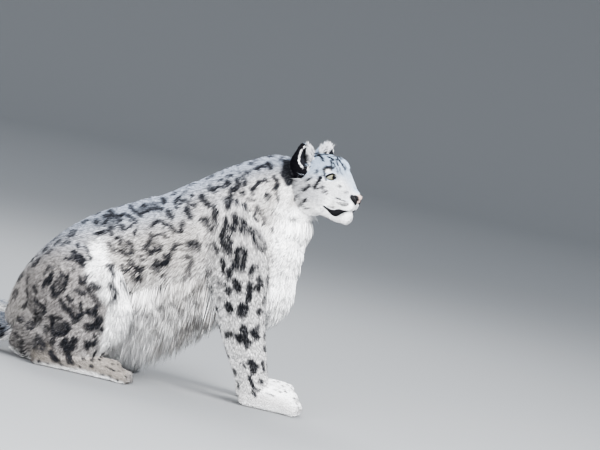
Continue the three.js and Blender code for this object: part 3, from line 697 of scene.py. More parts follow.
# Markings of the right side: width in the picture's pixels, darkness, then x and y from point to point
SIDE_MARKS = (
    (7.5, 1, 292, 155, 288.5, 163, 287, 172), (6, 1, 287.5, 174, 289.5, 181),
    (3.2, 0.95, 227, 174, 231, 174), (2.2, 0.6, 221, 172, 223, 172), (4.6, 0.95, 226, 181, 228, 182),
    (2.8, 0.7, 218, 185, 224, 186), (2.2, 0.7, 219, 180, 222, 178),
    (2.6, 0.55, 208, 184, 209, 189, 215, 190), (4, 0.75, 213, 187, 215, 188),
    (4.4, 0.85, 202, 194, 204, 200, 210, 203), (3.6, 0.8, 214, 205, 216, 212),
    (4.4, 0.8, 213, 215, 215, 222), (5.2, 0.95, 203, 217, 207, 218), (5.2, 0.75, 205, 220, 211, 229),
    (4.2, 0.6, 226, 197, 227, 206), (3, 0.75, 230, 201, 230, 203), (3, 0.65, 231, 190, 231, 198),
    (4.2, 0.95, 237, 178, 239, 184), (3.2, 0.95, 242, 175, 244, 177), (4.2, 0.95, 245, 180, 244, 184),
    (4.2, 0.85, 234, 187, 234, 189), (4.6, 0.9, 241, 191, 242, 192), (4, 0.9, 250, 187, 250, 189),
    (3.6, 0.75, 254, 190, 255, 192), (3.6, 0.9, 262, 180, 257, 180, 255, 187),
    (3, 0.8, 265, 177, 268, 180), (3.8, 0.85, 272, 175, 277, 178), (4.2, 0.9, 276, 186, 280, 183),
    (2.6, 0.75, 278, 190, 280, 201), (4.2, 0.8, 267, 195, 271, 194), (2.6, 0.8, 268, 191, 269, 198),
    (3.2, 0.65, 250, 197, 256, 200), (3.2, 0.75, 236, 199, 238, 202), (3, 0.7, 242, 202, 243, 203),
    (3, 0.75, 247, 202, 248, 206), (3.2, 0.85, 246, 208, 251, 209),
    (3.2, 0.75, 258, 211, 257, 218, 260, 220), (3.2, 0.8, 260, 205, 262, 210),
    (3, 0.75, 264, 213, 267, 222, 266, 226), (1.7, 0.6, 273, 210, 275, 216, 279, 219),
    (1.6, 0.5, 276, 210, 280, 217), (4.4, 0.65, 234, 213, 235, 223), (5.2, 0.95, 244, 218, 245, 222),
    (3.8, 0.9, 243, 226, 244, 231, 249, 232, 251, 226), (7, 0.35, 247, 227, 247, 229),
    (3.8, 0.85, 225, 216, 227, 220), (5, 0.9, 226, 223, 233, 229), (4.2, 0.75, 222, 227, 224, 232),
    (3.8, 0.9, 219, 233, 222, 243), (4.2, 0.9, 224, 234, 229, 241), (8, 0.4, 224, 238, 225, 246),
    (4.4, 0.95, 223, 243, 225, 252), (4.2, 0.95, 228, 244, 228, 253), (2.8, 0.85, 256, 229, 262, 237),
    (3.6, 0.95, 255, 232, 257, 242, 261, 248), (4.2, 0.85, 261, 248, 266, 250),
    (2.6, 0.9, 267, 242, 268, 248), (8, 0.22, 262, 238, 263, 244), (2.6, 0.7, 274, 228, 275, 231),
    (2.2, 0.45, 277, 236, 279, 241), (2.2, 0.4, 272, 240, 273, 244), (3.2, 0.55, 294, 221, 297, 222),
    (3.8, 0.85, 213, 243, 216, 255), (3.4, 0.75, 206, 245, 208, 247), (4.2, 0.6, 201, 242, 202, 250),
    (4.4, 0.95, 239, 249, 243, 245, 248, 250), (4.4, 0.95, 239, 249, 237, 258, 235, 268),
    (4.4, 0.95, 249, 250, 247, 262, 245, 269), (3.6, 0.9, 235, 270, 243, 270),
    (8, 0.42, 243, 252, 241, 266), (4.2, 0.9, 246, 170, 248, 172), (3.4, 0.9, 251, 169, 252, 169),
    (4, 0.95, 255, 166, 258, 168), (4.2, 0.95, 261, 165, 264, 164), (4.8, 0.95, 269, 161, 271, 167),
    (2.2, 0.85, 278, 158, 284, 153), (3, 0.6, 238, 171, 240, 171), (5.2, 0.97, 220, 260, 222, 265),
    (3.6, 0.9, 221, 265, 221, 273), (4.8, 0.95, 227, 270, 227, 279), (2.4, 0.7, 230, 262, 230, 270),
    (2.6, 0.7, 204, 272, 206, 277, 209, 272), (3.2, 0.5, 203, 286, 205, 282),
    (3.2, 0.75, 215, 280, 219, 284), (2.8, 0.85, 222, 287, 224, 286), (5.8, 0.97, 227, 292, 227, 294),
    (3.2, 0.45, 216, 298, 217, 299), (4.8, 0.95, 253, 271, 256, 267), (3.8, 0.9, 256, 267, 260, 266),
    (5.2, 0.95, 261, 277, 263, 281), (4.8, 0.93, 258, 286, 261, 289), (2.8, 0.75, 264, 285, 269, 287),
    (4.8, 0.93, 235, 283, 236, 288), (4.6, 0.93, 239, 286, 241, 289), (5.2, 0.93, 238, 294, 240, 293),
    (6, 0.6, 237, 289, 238, 291), (5.2, 0.93, 251, 287, 253, 292), (4.8, 0.95, 251, 296, 252, 300),
    (6.4, 0.8, 227, 306, 228, 312), (4.2, 0.93, 240, 308, 244, 306, 249, 309),
    (10, 0.72, 243, 311, 245, 313), (4.4, 0.93, 239, 315, 243, 319), (4.8, 0.97, 262, 309, 261, 314),
    (2.8, 0.9, 262, 311, 266, 312), (3.2, 0.6, 266, 321, 266, 322), (3.2, 0.4, 218, 319, 218, 321),
    (6.4, 0.62, 224, 335, 229, 336), (3.6, 0.9, 239, 331, 243, 332), (4.8, 0.95, 244, 329, 249, 335),
    (4.6, 0.9, 236, 339, 240, 345), (6.4, 0.8, 239, 338, 246, 342), (4.8, 0.95, 245, 344, 252, 345),
    (3.6, 0.95, 248, 347, 250, 349), (4.2, 0.6, 258, 328, 261, 326), (5.2, 0.93, 255, 332, 258, 337),
    (5, 0.65, 259, 332, 261, 336), (6.2, 0.93, 252, 364, 258, 365, 256, 370),
    (3.8, 0.7, 265, 362, 266, 370), (2.8, 0.65, 241, 366, 242, 368), (3.2, 0.95, 249, 379, 254, 384),
    (3.8, 0.85, 263, 381, 265, 382), (2.8, 0.6, 257, 389, 261, 389), (2.8, 0.75, 251, 393, 253, 394),
    (1.8, 0.45, 266, 390, 272, 393), (5, 0.28, 272, 255, 274, 262),
    (2.8, 0.85, 133, 195, 136, 200, 140, 206, 143, 208), (5.2, 0.7, 145, 198, 147, 198),
    (3.8, 0.75, 148, 205, 154, 203, 160, 203, 164, 204), (3.8, 0.7, 163, 193, 166, 198),
    (9, 0.35, 146, 201, 158, 199), (4.2, 0.75, 105, 203, 112, 204),
    (4, 0.75, 111, 199, 118, 205, 125, 204), (4.4, 0.95, 99, 220, 107, 219),
    (3.8, 0.85, 112, 214, 113, 221), (3.2, 0.75, 116, 215, 124, 214), (4.2, 0.85, 124, 215, 124, 219),
    (3.2, 0.8, 128, 218, 134, 216, 138, 213), (3.2, 0.8, 130, 205, 137, 212),
    (4.2, 0.7, 110, 207, 108, 211), (3.8, 0.7, 120, 206, 122, 209), (4.2, 0.65, 97, 207, 99, 210),
    (10, 0.3, 104, 209, 116, 209), (3.6, 0.9, 139, 221, 138, 225),
    (3.8, 0.93, 116, 227, 121, 226, 123, 230), (3.2, 0.8, 109, 230, 111, 230),
    (3.8, 0.9, 129, 230, 132, 235), (3.4, 0.8, 120, 238, 126, 241, 131, 243),
    (4.2, 0.85, 133, 236, 132, 243), (2.6, 0.5, 122, 232, 128, 236), (8, 0.3, 124, 234, 128, 238),
    (3.6, 0.7, 111, 232, 116, 240), (3.6, 0.8, 160, 214, 155, 217, 153, 220),
    (3.6, 0.85, 163, 215, 167, 219, 172, 221, 176, 226), (4.2, 0.85, 171, 207, 173, 213),
    (2.8, 0.93, 177, 195, 179, 204), (2.4, 0.8, 181, 193, 183, 200), (4.2, 0.5, 187, 198, 189, 201),
    (4.2, 0.75, 187, 206, 191, 214), (3.2, 0.7, 194, 202, 195, 204), (3.2, 0.85, 192, 193, 193, 194),
    (3, 0.8, 175, 222, 178, 228), (3.6, 0.85, 183, 218, 183, 228), (4.2, 0.75, 154, 226, 149, 235),
    (4.4, 0.97, 146, 237, 148, 243, 152, 247), (3.4, 0.97, 154, 241, 155, 248),
    (2.8, 0.8, 158, 228, 166, 229, 168, 232), (4.2, 0.85, 161, 239, 161, 245),
    (9, 0.3, 154, 233, 156, 240), (4.2, 0.85, 178, 239, 178, 247), (2.6, 0.6, 180, 240, 186, 240),
    (3.2, 0.75, 174, 248, 178, 248), (4.4, 0.85, 192, 242, 196, 240, 202, 242),
    (5.2, 0.7, 193, 248, 200, 249), (9, 0.45, 195, 244, 198, 246), (4.2, 0.8, 108, 252, 115, 254),
    (5.4, 0.8, 112, 258, 115, 263), (3.8, 0.85, 124, 256, 126, 264),
    (4.8, 0.9, 131, 254, 137, 261, 142, 264), (3.8, 0.85, 134, 260, 139, 267, 142, 273),
    (4.2, 0.8, 133, 270, 135, 275), (3.4, 0.85, 129, 263, 133, 270),
    (3.2, 0.85, 139, 246, 141, 252, 145, 256), (4.4, 0.9, 155, 262, 157, 268),
    (5.2, 0.93, 157, 258, 163, 262, 168, 260, 171, 256), (3.8, 0.9, 165, 254, 167, 259),
    (2.8, 0.7, 164, 266, 165, 272), (4.2, 0.65, 188, 256, 191, 262, 189, 270),
    (5.4, 0.5, 182, 277, 188, 276), (3.2, 0.75, 161, 272, 164, 278), (4.6, 0.85, 156, 282, 155, 286),
    (4.6, 0.9, 160, 281, 162, 288, 164, 295), (5.6, 0.85, 111, 272, 115, 281),
    (4.8, 0.9, 121, 272, 124, 280, 126, 287), (6, 0.85, 110, 287, 114, 288),
    (10, 0.5, 142, 293, 145, 296), (3.6, 0.75, 141, 289, 138, 295), (4, 0.85, 148, 294, 148, 300),
    (3.4, 0.65, 149, 290, 152, 291), (4.2, 0.6, 185, 287, 183, 294), (3.4, 0.6, 193, 296, 195, 306),
    (3.4, 0.7, 130, 302, 132, 305), (4, 0.85, 134, 306, 135, 313), (3, 0.55, 175, 310, 176, 317),
    (2.6, 0.5, 188, 312, 189, 320), (6.4, 0.9, 96, 306, 98, 307), (4, 0.8, 96, 317, 98, 319),
    (3.4, 0.85, 79, 228, 80, 233), (3.8, 0.85, 85, 232, 90, 238, 92, 244),
    (5.2, 0.97, 73, 236, 76, 243, 82, 249), (5, 0.95, 78, 240, 84, 246), (3.4, 0.85, 66, 241, 71, 243),
    (2.6, 0.6, 72, 252, 73, 254), (3.8, 0.95, 58, 258, 62, 260, 67, 259), (4.2, 0.8, 65, 262, 62, 269),
    (3.2, 0.6, 55, 262, 51, 268), (4.6, 0.95, 50, 270, 50, 279), (3.4, 0.8, 51, 279, 57, 276, 61, 271),
    (9, 0.45, 58, 266, 56, 272), (3.4, 0.6, 44, 256, 47, 250, 54, 250), (3.4, 0.85, 44, 262, 41, 267),
    (4.4, 0.95, 50, 256, 48, 262, 45, 265), (4, 0.8, 78, 261, 80, 266, 86, 266),
    (3.4, 0.75, 86, 262, 88, 259), (6, 0.35, 82, 262, 83, 263), (3.8, 0.85, 73, 273, 76, 279, 81, 281),
    (3.8, 0.8, 84, 273, 86, 278), (7, 0.25, 78, 273, 80, 275), (5.6, 0.78, 93, 269, 96, 272, 100, 277),
    (4.4, 0.85, 63, 281, 66, 284), (4.8, 0.8, 56, 286, 59, 289), (3.4, 0.8, 58, 293, 63, 294),
    (4.8, 0.93, 65, 297, 70, 303, 76, 298), (3.6, 0.85, 77, 291, 76, 296), (6, 0.3, 69, 294, 71, 296),
    (6.4, 0.85, 84, 296, 88, 299), (4, 0.8, 90, 294, 93, 297), (5.2, 0.55, 91, 282, 95, 289),
    (6.2, 0.75, 94, 306, 99, 305), (4.4, 0.97, 47, 303, 45, 310, 47, 315), (3.8, 0.95, 48, 302, 54, 302),
    (5, 0.97, 48, 316, 56, 316, 62, 311), (4, 0.85, 59, 305, 62, 310), (9, 0.55, 52, 308, 55, 310),
    (3.6, 0.85, 78, 310, 84, 309), (6.4, 0.88, 81, 313, 90, 315), (2.8, 0.8, 94, 317, 98, 321),
    (4.4, 0.75, 36, 288, 39, 290, 38, 296), (4.2, 0.65, 31, 293, 29, 304), (6, 0.5, 35, 296, 32, 304),
    (3.4, 0.75, 31, 270, 33, 276), (4.2, 0.85, 30, 281, 33, 285), (11, 0.6, 30, 323, 34, 326),
    (3.2, 0.7, 28, 318, 36, 320), (4.8, 0.95, 58, 324, 54, 331), (4.8, 0.95, 64, 325, 68, 328),
    (4.8, 0.97, 57, 336, 61, 340), (4.4, 0.93, 66, 334, 61, 338), (8, 0.7, 59, 331, 63, 332),
    (5.2, 0.9, 43, 333, 44, 338, 46, 344), (5.2, 0.93, 81, 331, 82, 336), (5, 0.75, 86, 333, 90, 331),
    (3.2, 0.75, 89, 325, 90, 330), (4, 0.9, 103, 336, 104, 338), (2.8, 0.9, 84, 344, 90, 341),
    (2.6, 0.85, 95, 343, 97, 342), (3.2, 0.85, 81, 350, 83, 350), (3.6, 0.6, 57, 347, 62, 349),
    (4.4, 0.6, 13, 322, 12, 330, 15, 338), (4.6, 0.8, 12, 299, 15, 301), (3.6, 0.7, 17, 288, 22, 284),
)

# Markings of the near side of the face, in the same way
FACE_MARKS = (
    (1, 0.8, 335, 199.8, 344.2, 200.6), (1, 0.8, 336, 202, 348.7, 203),
    (1, 0.8, 337.5, 204.1, 348.7, 205.2),
    (1, 0.7, 339.8, 206.4, 347.5, 207.2), (1.3, 0.95, 318, 152.5, 320.5, 155.5),
    (1.3, 0.9, 322, 158, 323.5, 160.5),
    (1.3, 0.95, 327, 152.8, 329, 155), (1.4, 0.95, 330.5, 157, 333, 160), (1.2, 0.9, 331.5, 161, 332, 165),
    (1.2, 0.9, 335, 155, 337.5, 158), (1.2, 0.9, 338.5, 159, 341, 162), (1.2, 0.9, 342, 163, 344, 166),
    (1.1, 0.85, 344.8, 166.5, 346.2, 170), (1.1, 0.85, 337, 162, 338.8, 165.5),
    (1.1, 0.85, 340, 167, 341.6, 170.5),
    (1.1, 0.85, 334.5, 163, 335.6, 166.5),
    (7.5, 1, 293, 152, 289, 162, 287.5, 172), (6, 1, 288.5, 174, 290.5, 181),
    (5, 1, 293, 176, 292, 180),
    (2.5, 0.97, 320, 176.5, 317, 182, 314, 186), (2.1, 0.93, 313, 188, 313, 188.6),
    (1.5, 0.85, 313, 189, 316, 190.3, 319, 190.2), (1.3, 0.75, 321.5, 190, 323.5, 191),
    (1.7, 0.8, 324.5, 193.3, 327, 192.5), (1.3, 0.6, 327.5, 195.5, 328, 195.5),
    (1.5, 0.55, 323, 186, 325, 187.5), (1.8, 0.85, 309.5, 178, 306.5, 181),
    (2.5, 0.97, 308, 186, 308, 187), (2.2, 0.9, 307, 188, 303.5, 192),
    (1.5, 0.6, 301.5, 189.6, 302, 191.5), (2.5, 0.9, 305.5, 200.5, 302.5, 203, 299.5, 205.5),
    (2.1, 0.85, 296.8, 196.5, 295.8, 199), (1.5, 0.55, 295.8, 200, 296, 202),
    (1.7, 0.75, 303, 206.5, 306, 208.5, 308.5, 208.5), (1.8, 0.4, 294, 187, 295, 187),
    (1.6, 0.65, 316.5, 170, 315.5, 173), (2.4, 0.95, 323.6, 168.6, 324, 169.4),
    (2.4, 0.97, 324.5, 168, 327, 166.5, 330, 167), (1.9, 0.8, 324.5, 170, 325, 173),
    (2.3, 0.95, 324, 174.3, 325, 174.8), (1.7, 0.85, 326, 177, 327, 180),
    (1.8, 0.8, 331.5, 169.2, 334.5, 168.5), (1.8, 0.85, 331, 160, 332, 163),
    (2.3, 0.93, 331, 157, 334, 159.5), (1.9, 0.9, 328, 156, 329, 157), (1.9, 0.9, 320.5, 155.6, 322, 158),
    (1.5, 0.65, 322, 159.5, 323, 160), (2.1, 0.85, 316.5, 153, 318, 154.5),
    (2.1, 0.85, 325.5, 153, 327, 154), (1.5, 0.6, 319, 151.5, 320, 152.5),
    (1.3, 0.6, 329, 152.5, 330, 152.5), (1.6, 0.5, 311, 152, 313, 153), (1.3, 0.6, 334, 162, 336, 166),
    (1.3, 0.5, 336, 158, 338, 163), (1.3, 0.5, 339, 158, 342, 163), (1.5, 0.6, 336, 155.5, 342, 158.5),
    (1.3, 0.5, 343, 163, 344, 168), (1.4, 0.4, 341, 171, 343, 174), (1.4, 0.4, 346, 165, 347, 170),
    (1.3, 0.45, 338, 168, 339, 173), (2.2, 0.5, 340, 186, 341, 187), (1.5, 0.4, 346, 193.5, 349, 193.2),
    (0.9, 0.45, 336, 199.5, 341, 199.5), (1, 0.5, 342.5, 200.5, 348, 201.5),
    (1.1, 0.6, 337, 203, 342, 204.5, 349, 205.5), (1, 0.5, 340, 206.5, 347, 207.5),
)

# Pale places of the coat: x, y, width and height in the picture, and how pale
PALE_PLACES = (
    (103, 246, 22, 44, 1.0), (108, 268, 14, 30, 0.8), (329, 171, 8, 5, 0.9), (336, 190, 20, 22, 0.35),
    (264, 190, 26, 24, 0.35), (286, 196, 14, 40, 0.5), (290, 232, 30, 50, 0.9),
)


@dataclass
class Stroke:
    """One straight part of a marking: its ends, the skin's normal, its half width and its darkness."""

    start: Array
    end: Array
    normal: Array
    radius: float
    dark: float


class Markings:
    """The pattern of the coat, as strokes that any point of skin or coat can ask for its darkness."""

    FILL_SIZES = (("trunk", 17.0), ("neck", 13.0), ("thigh", 15.0), ("seat", 14.0), ("foreleg", 10.0),
                  ("shank", 11.0), ("tail", 24.0), ("forepaw", 5.0), ("hind_foot", 5.5))
    HIDDEN = ("tail", "hind_foot", "shank", "seat")
    REACH = 30.0
    SPREAD = (1.26, 1.5)
    BACK_LINE = 214
    BACK_END = 238
    BACK_DARK = 1.25
    AWAY = 0.9
    EDGE = (0.72, 1.2)
    BACK_GAIN = 1.3

    def __init__(self, skin: "Skin", picture: Picture) -> None:
        """Lays the strokes seen in the picture on the skin, then fills the rest of the coat.

        Args:
            skin: the skin to mark.
            picture: where its points lie in the photo.
        """
        self.skin = skin
        self.picture = picture
        self.draw = np.random.default_rng(52)
        self.strokes: list[Stroke] = []
        self.heights = picture.seen_height(skin.points)
        self.lay(SIDE_MARKS, 9.0, 26.0)
        self.lay(FACE_MARKS, 4.0, 12.0)
        self.fill()
        LOG.info("markings: %d strokes", len(self.strokes))

    def nearest(self, x: float, z: float, side: Side, near: float, limit: float) -> int:
        """The outermost skin point of one side close to a place in the side view.

        Args:
            x: the design X.
            z: the height across the view.
            side: the animal's side.
            near: how far round the place the outermost point is looked for.
            limit: how far the nearest point may be where there is none so near.

        Returns:
            The point's index, or -1.
        """
        points = self.skin.points
        far = np.hypot(points[:, 0] - x, self.heights - z)
        out = np.where(far < near, points[:, 1] * side.value, -1e9)
        best = int(out.argmax())
        if out[best] > -1e8:
            return best
        best = int(far.argmin())
        return best if far[best] < limit else -1

    def lay(self, marks: tuple[tuple[float, ...], ...], near: float, limit: float) -> None:
        """Lays the strokes of a list on the right side, and the same, drawn a little aside, on the left.

        Args:
            marks: half width, darkness and points in pixels, for each stroke.
            near: how near a skin point has to be, in pixels.
            limit: the largest step on the skin.
        """
        back, body = np.linalg.inv(HEAD), marks is SIDE_MARKS
        for width, dark, *line in marks:
            upper = body and line[0] < self.BACK_END and line[1] < self.BACK_LINE
            wider, darker = (self.BACK_GAIN, self.BACK_DARK) if upper else (1, 1)
            radius = width * self.picture.pixel / 2 * self.SPREAD[not body] * wider
            dark = min(1.0, dark * darker)
            x, z = self.picture.place(np.array(line[::2], float), np.array(line[1::2], float), body)
            right = [self.nearest(a, b, Side.RIGHT, near, limit) for a, b in zip(x, z)]
            self.join(right, radius, dark)
            if body:
                x = x + 12 + 16 * np.sin(z / 90 + 1)
                z = z + 10 * np.sin(x / 110)
                left = [self.nearest(a, b, Side.LEFT, near, limit) for a, b in zip(x, z)]
            else:
                local = carried(self.skin.points[right], back) * [1, -1, 1]
                twins = carried(local, HEAD)
                left = [int(((self.skin.points - twin) ** 2).sum(1).argmin()) for twin in twins]
            self.join(left, radius, dark)

    def join(self, indices: list[int], radius: float, dark: float) -> None:
        """Adds the strokes from point to point of the skin.

        Args:
            indices: the skin points in order.
            radius: half the width.
            dark: the darkness.
        """
        for a, b in zip(indices[:-1], indices[1:]):
            if a >= 0 and b >= 0:
                start, end = self.skin.points[a], self.skin.points[b]
                if np.linalg.norm(end - start) < 75:
                    normal = unit(self.skin.normals[a] + self.skin.normals[b])
                    self.strokes.append(Stroke(start, end, normal, radius, dark))

    def fill(self) -> None:
        """Rosettes where the picture shows none, set by darts that keep clear of the strokes before them."""
        skin, draw = self.skin, self.draw
        pick = draw.choice(len(skin.points), 12000, replace=False)
        names = np.array([f.name for f in skin.forms])
        centres = np.array([(s.start + s.end) / 2 for s in self.strokes])
        reach = np.array([s.radius + 4 for s in self.strokes])
        for index in pick:
            name, out = names[skin.lead[index]], skin.normals[index]
            size = next((z for start, z in self.FILL_SIZES if name.startswith(start)), 0)
            size = size * draw.uniform(0.75, 1.15)
            seen = abs(out[1]) > 0.45 and out[1] * skin.points[index, 1] > 0
            if size == 0 or skin.pale[index] > 0.55 or (seen and not name.startswith(self.HIDDEN)):
                continue
            if (np.linalg.norm(centres - skin.points[index], axis=1) < (reach + size) * 1.15).any():
                continue
            self.rosette(int(index), size)
            centres = np.vstack([centres, skin.points[index]])
            reach = np.append(reach, size)

    def rosette(self, index: int, size: float) -> None:
        """A broken ring of short strokes with a greyer middle, or one small spot where it is small.

        Args:
            index: the skin point at its middle.
            size: its radius.
        """
        draw, centre, normal = self.draw, self.skin.points[index], self.skin.normals[index]
        wide = unit(np.cross(normal, [0.2, 0.1, 0.97]))
        up = np.cross(normal, wide)
        if size < 7:
            self.strokes.append(Stroke(centre, centre + wide * size * 0.5, normal, size * 0.7, 0.8))
            return
        self.strokes.append(Stroke(centre, centre + up * 2, normal, size * 0.8, 0.35))
        for a in np.linspace(0, 2 * math.pi, 5)[:-1] + draw.uniform(0, 1.5):
            span = draw.uniform(0.5, 1.1)
            aims = [wide * math.cos(v) + up * math.sin(v) for v in (a, a + span)]
            start, end = [centre + aim * size * draw.uniform(0.6, 0.85) for aim in aims]
            radius, dark = size * draw.uniform(0.22, 0.34), draw.uniform(0.75, 0.97)
            self.strokes.append(Stroke(start, end, normal, radius, dark))

    def darkness(self, points: Array) -> Array:
        """How dark the markings make each point, from 0 to 1.

        A point's distance is measured from the nearest place of a stroke, across the skin in full and away
        from the skin at a third, and the stroke fades with a soft step round its half width. The points are
        sorted along X, so that each stroke looks only at those near it.

        Args:
            points: places in millimetres.

        Returns:
            A darkness for each point.
        """
        order = np.argsort(points[:, 0])
        sorted_x = points[order, 0]
        dark = np.zeros(len(points))
        for s in self.strokes:
            low = np.minimum(s.start, s.end) - s.radius - self.REACH
            high = np.maximum(s.start, s.end) + s.radius + self.REACH
            first, last = np.searchsorted(sorted_x, (low[0], high[0]))
            near = order[first:last]
            place = points[near, 1:]
            near = near[((place > low[1:]) & (place < high[1:])).all(1)]
            if not len(near):
                continue
            line, off = s.end - s.start, points[near] - s.start
            off = off - np.clip(off @ line / max(line @ line, 1e-6), 0, 1)[:, None] * line
            out = off @ s.normal
            far = np.sqrt(np.maximum((off ** 2).sum(1) - self.AWAY * out ** 2, 0)) / s.radius
            dark[near] = np.maximum(dark[near], s.dark * (1 - smoothstep(far, *self.EDGE)))
        return dark


class Skin:
    """The skin: the body and the finer head, each fused from its forms."""

    BODY_VOXEL = 5.0
    HEAD_VOXEL = 2.2

    def __init__(self, bench: Bench) -> None:
        """Builds the skin's points, triangles and normals, and finds the form that leads at each point.

        Args:
            bench: where meshes are made.
        """
        self.head = head_forms()
        self.body = trunk_forms() + [form for side in Side for form in leg_forms(side)]
        toes = [form for side in Side for form in toe_forms(side)]
        self.forms = self.body + self.head
        body = bench.fused([f.surface(26, 36) for f in self.body] + [f.surface(6, 16) for f in toes],
                           self.BODY_VOXEL, 5)
        cutters, added = [], []
        for side in Side:
            cutters += [self.eye_opening(side).surface(6, 20), self.ear_hollow(side).surface(8, 20)]
            added.append(self.lid_roll(side))
        carved = bench.fused([f.surface(24, 40) for f in self.head], 2.0, 2, cutters)
        head = bench.fused([carved[:2], *added], self.HEAD_VOXEL, 2)
        body = self.softened(*body[:2])
        count = len(body[0])
        self.points = np.concatenate([body[0], head[0]])
        self.triangles = np.concatenate([body[1], head[1] + count])
        self.normals = np.concatenate([body[2], head[2]])
        self.points[:, 2] = np.maximum(self.points[:, 2], FLOOR_GAP)
        self.settle()
        LOG.info("skin: %d triangles", len(self.triangles))

    @staticmethod
    def softened(points: Array, triangles: Array) -> tuple[Array, Array, Array]:
        """The body's skin with its upper part evened out, so that limbs run softly into the trunk.

        Again and again each point moves towards the middle of its neighbours, fully where it is high up
        and not at all at the feet.

        Args:
            points: the points of the shell.
            triangles: its triangles.

        Returns:
            The points, the triangles and a normal at each point.
        """
        pairs = np.concatenate([triangles[:, [0, 1]], triangles[:, [1, 2]], triangles[:, [2, 0]]])
        size = len(points)
        count = np.bincount(pairs[:, 0], minlength=size)[:, None]
        share = 0.5 * smoothstep(points[:, 2], 120, 300)[:, None]
        share = np.where(points[:, [0]] < -420, 0.5 * smoothstep(points[:, [2]], 90, 180), share)
        for _ in range(45):
            total = [np.bincount(pairs[:, 0], points[pairs[:, 1], k], size) for k in range(3)]
            points = points + (np.stack(total, 1) / count - points) * share
        a, b, c = (points[triangles[:, k]] for k in range(3))
        across = np.cross(b - a, c - a)
        normals = [sum(np.bincount(triangles[:, j], across[:, k], size) for j in range(3)) for k in range(3)]
        return points, triangles, unit(np.stack(normals, 1))

    @staticmethod
    def eye_opening(side: Side) -> Form:
        """The open part between the lids, widening outwards.

        Args:
            side: left or right.

        Returns:
            The form that is cut out.
        """
        return Form("eye_opening",
                    ((3, 0, 0, 14, 6.5, 6.5), (10, 0, 0, 16.6, 8, 7.4), (34, 0, 0, 20, 15, 12)),
                    MUZZLE_FUR, ends=(3, 3), depth=(0, 0), place=eye_place(side.value))

    @staticmethod
    def ear_hollow(side: Side) -> Form:
        """The hollow of an ear's cup.

        Args:
            side: left or right.

        Returns:
            The form that is cut out.
        """
        return Form("ear_hollow", ((14, 0, 0, 20, 12, 11), (10, 0, 14, 25, 13, 13), (8, 0, 30, 21, 12, 9),
                                   (8, 0, 40, 13, 10, 6)),
                    EAR_FUR, over=(1, 0, 0), ends=(3, 5), depth=(0, 0), place=ear_place(side.value))

    @staticmethod
    def lid_rim(side: Side, grow: float, out: float, count: int = 48) -> Array:
        """The almond line of the lids.

        Across it is a cosine, its height a sine narrowed towards the corners, and it lies back with the
        square of its distance from the middle, as the eyeball does.

        Args:
            side: left or right.
            grow: how far outside the lids.
            out: how far in front of them.
            count: how many points.

        Returns:
            The points of the line.
        """
        a = 2 * np.pi * np.arange(count) / count
        across = (16.4 + grow) * np.cos(a)
        tall = (7.9 + grow) * np.sin(a) * (1 - 0.3 * np.abs(np.cos(a)))
        local = np.stack([11.5 + out - across ** 2 / 40, across, tall + side.value * across * -0.16], -1)
        return carried(local, eye_place(side.value))

    def lid_roll(self, side: Side) -> tuple[Array, Array]:
        """The roll of skin round the open eye, as a closed ring."""
        return ring_tube(self.lid_rim(side, 3.0, -1.6), 3.2, 10)

    def settle(self) -> None:
        """Finds each point's leading form, and how pale the coat is there."""
        self.lead, self.t, self.angle, _ = self.read(self.points)
        self.pale = self.paleness(self.points, self.normals, self.lead)

    def read(self, points: Array) -> tuple[Array, Array, Array, Array]:
        """The leading form of each point, with its t and angle there, and its ratio to every form.

        Args:
            points: places in millimetres.

        Returns:
            Form number, t, angle and ratios.
        """
        found = [form.locate(points) for form in self.forms]
        t, angle, ratios = (np.stack([f[k] for f in found], 1) for k in range(3))
        lead = ratios.argmin(1)
        pick = np.arange(len(points))
        return lead, t[pick, lead], angle[pick, lead], ratios

    def paleness(self, points: Array, normals: Array, lead: Array) -> Array:
        """How white the ground colour is: full under the body, inside the legs and on the breast.

        Args:
            points: places in millimetres.
            normals: the normals there.
            lead: the number of the form that leads there.

        Returns:
            A share of white for each point.
        """
        names = [f.name for f in self.forms]
        under = smoothstep(-normals[:, 2], 0.3, 0.75)
        inner = smoothstep(-normals[:, 1] * np.sign(points[:, 1]), 0.1, 0.7) * (points[:, 2] < 330)
        low = smoothstep(-points[:, 2] - 45 * smoothstep(points[:, 0], -400, -330), -265, -205)
        low = low * (points[:, 0] > -440) * (points[:, 0] < -180) * (points[:, 2] > 75)
        breast = np.isin(lead, [names.index("throat")]) * smoothstep(points[:, 0], -90, -40)
        throat = smoothstep(points[:, 0], -80, -45) * (points[:, 2] < 500) * (points[:, 2] > 230)
        pale = np.maximum.reduce([under, inner, low, breast, throat])
        picture = Picture()
        height = picture.seen_height(np.c_[points[:, 0], -np.abs(points[:, 1]), points[:, 2]])
        for x, y, w, h, share in PALE_PLACES:
            at_x, at_z = picture.place(np.array(float(x)), np.array(float(y)), x < 300)
            size = picture.pixel / 2
            far = np.hypot((points[:, 0] - at_x) / (w * size), (height - at_z) / (h * size))
            pale = np.maximum(pale, share * (1 - smoothstep(far, 0.6, 1.3)))
        return np.clip(pale, 0, 1)


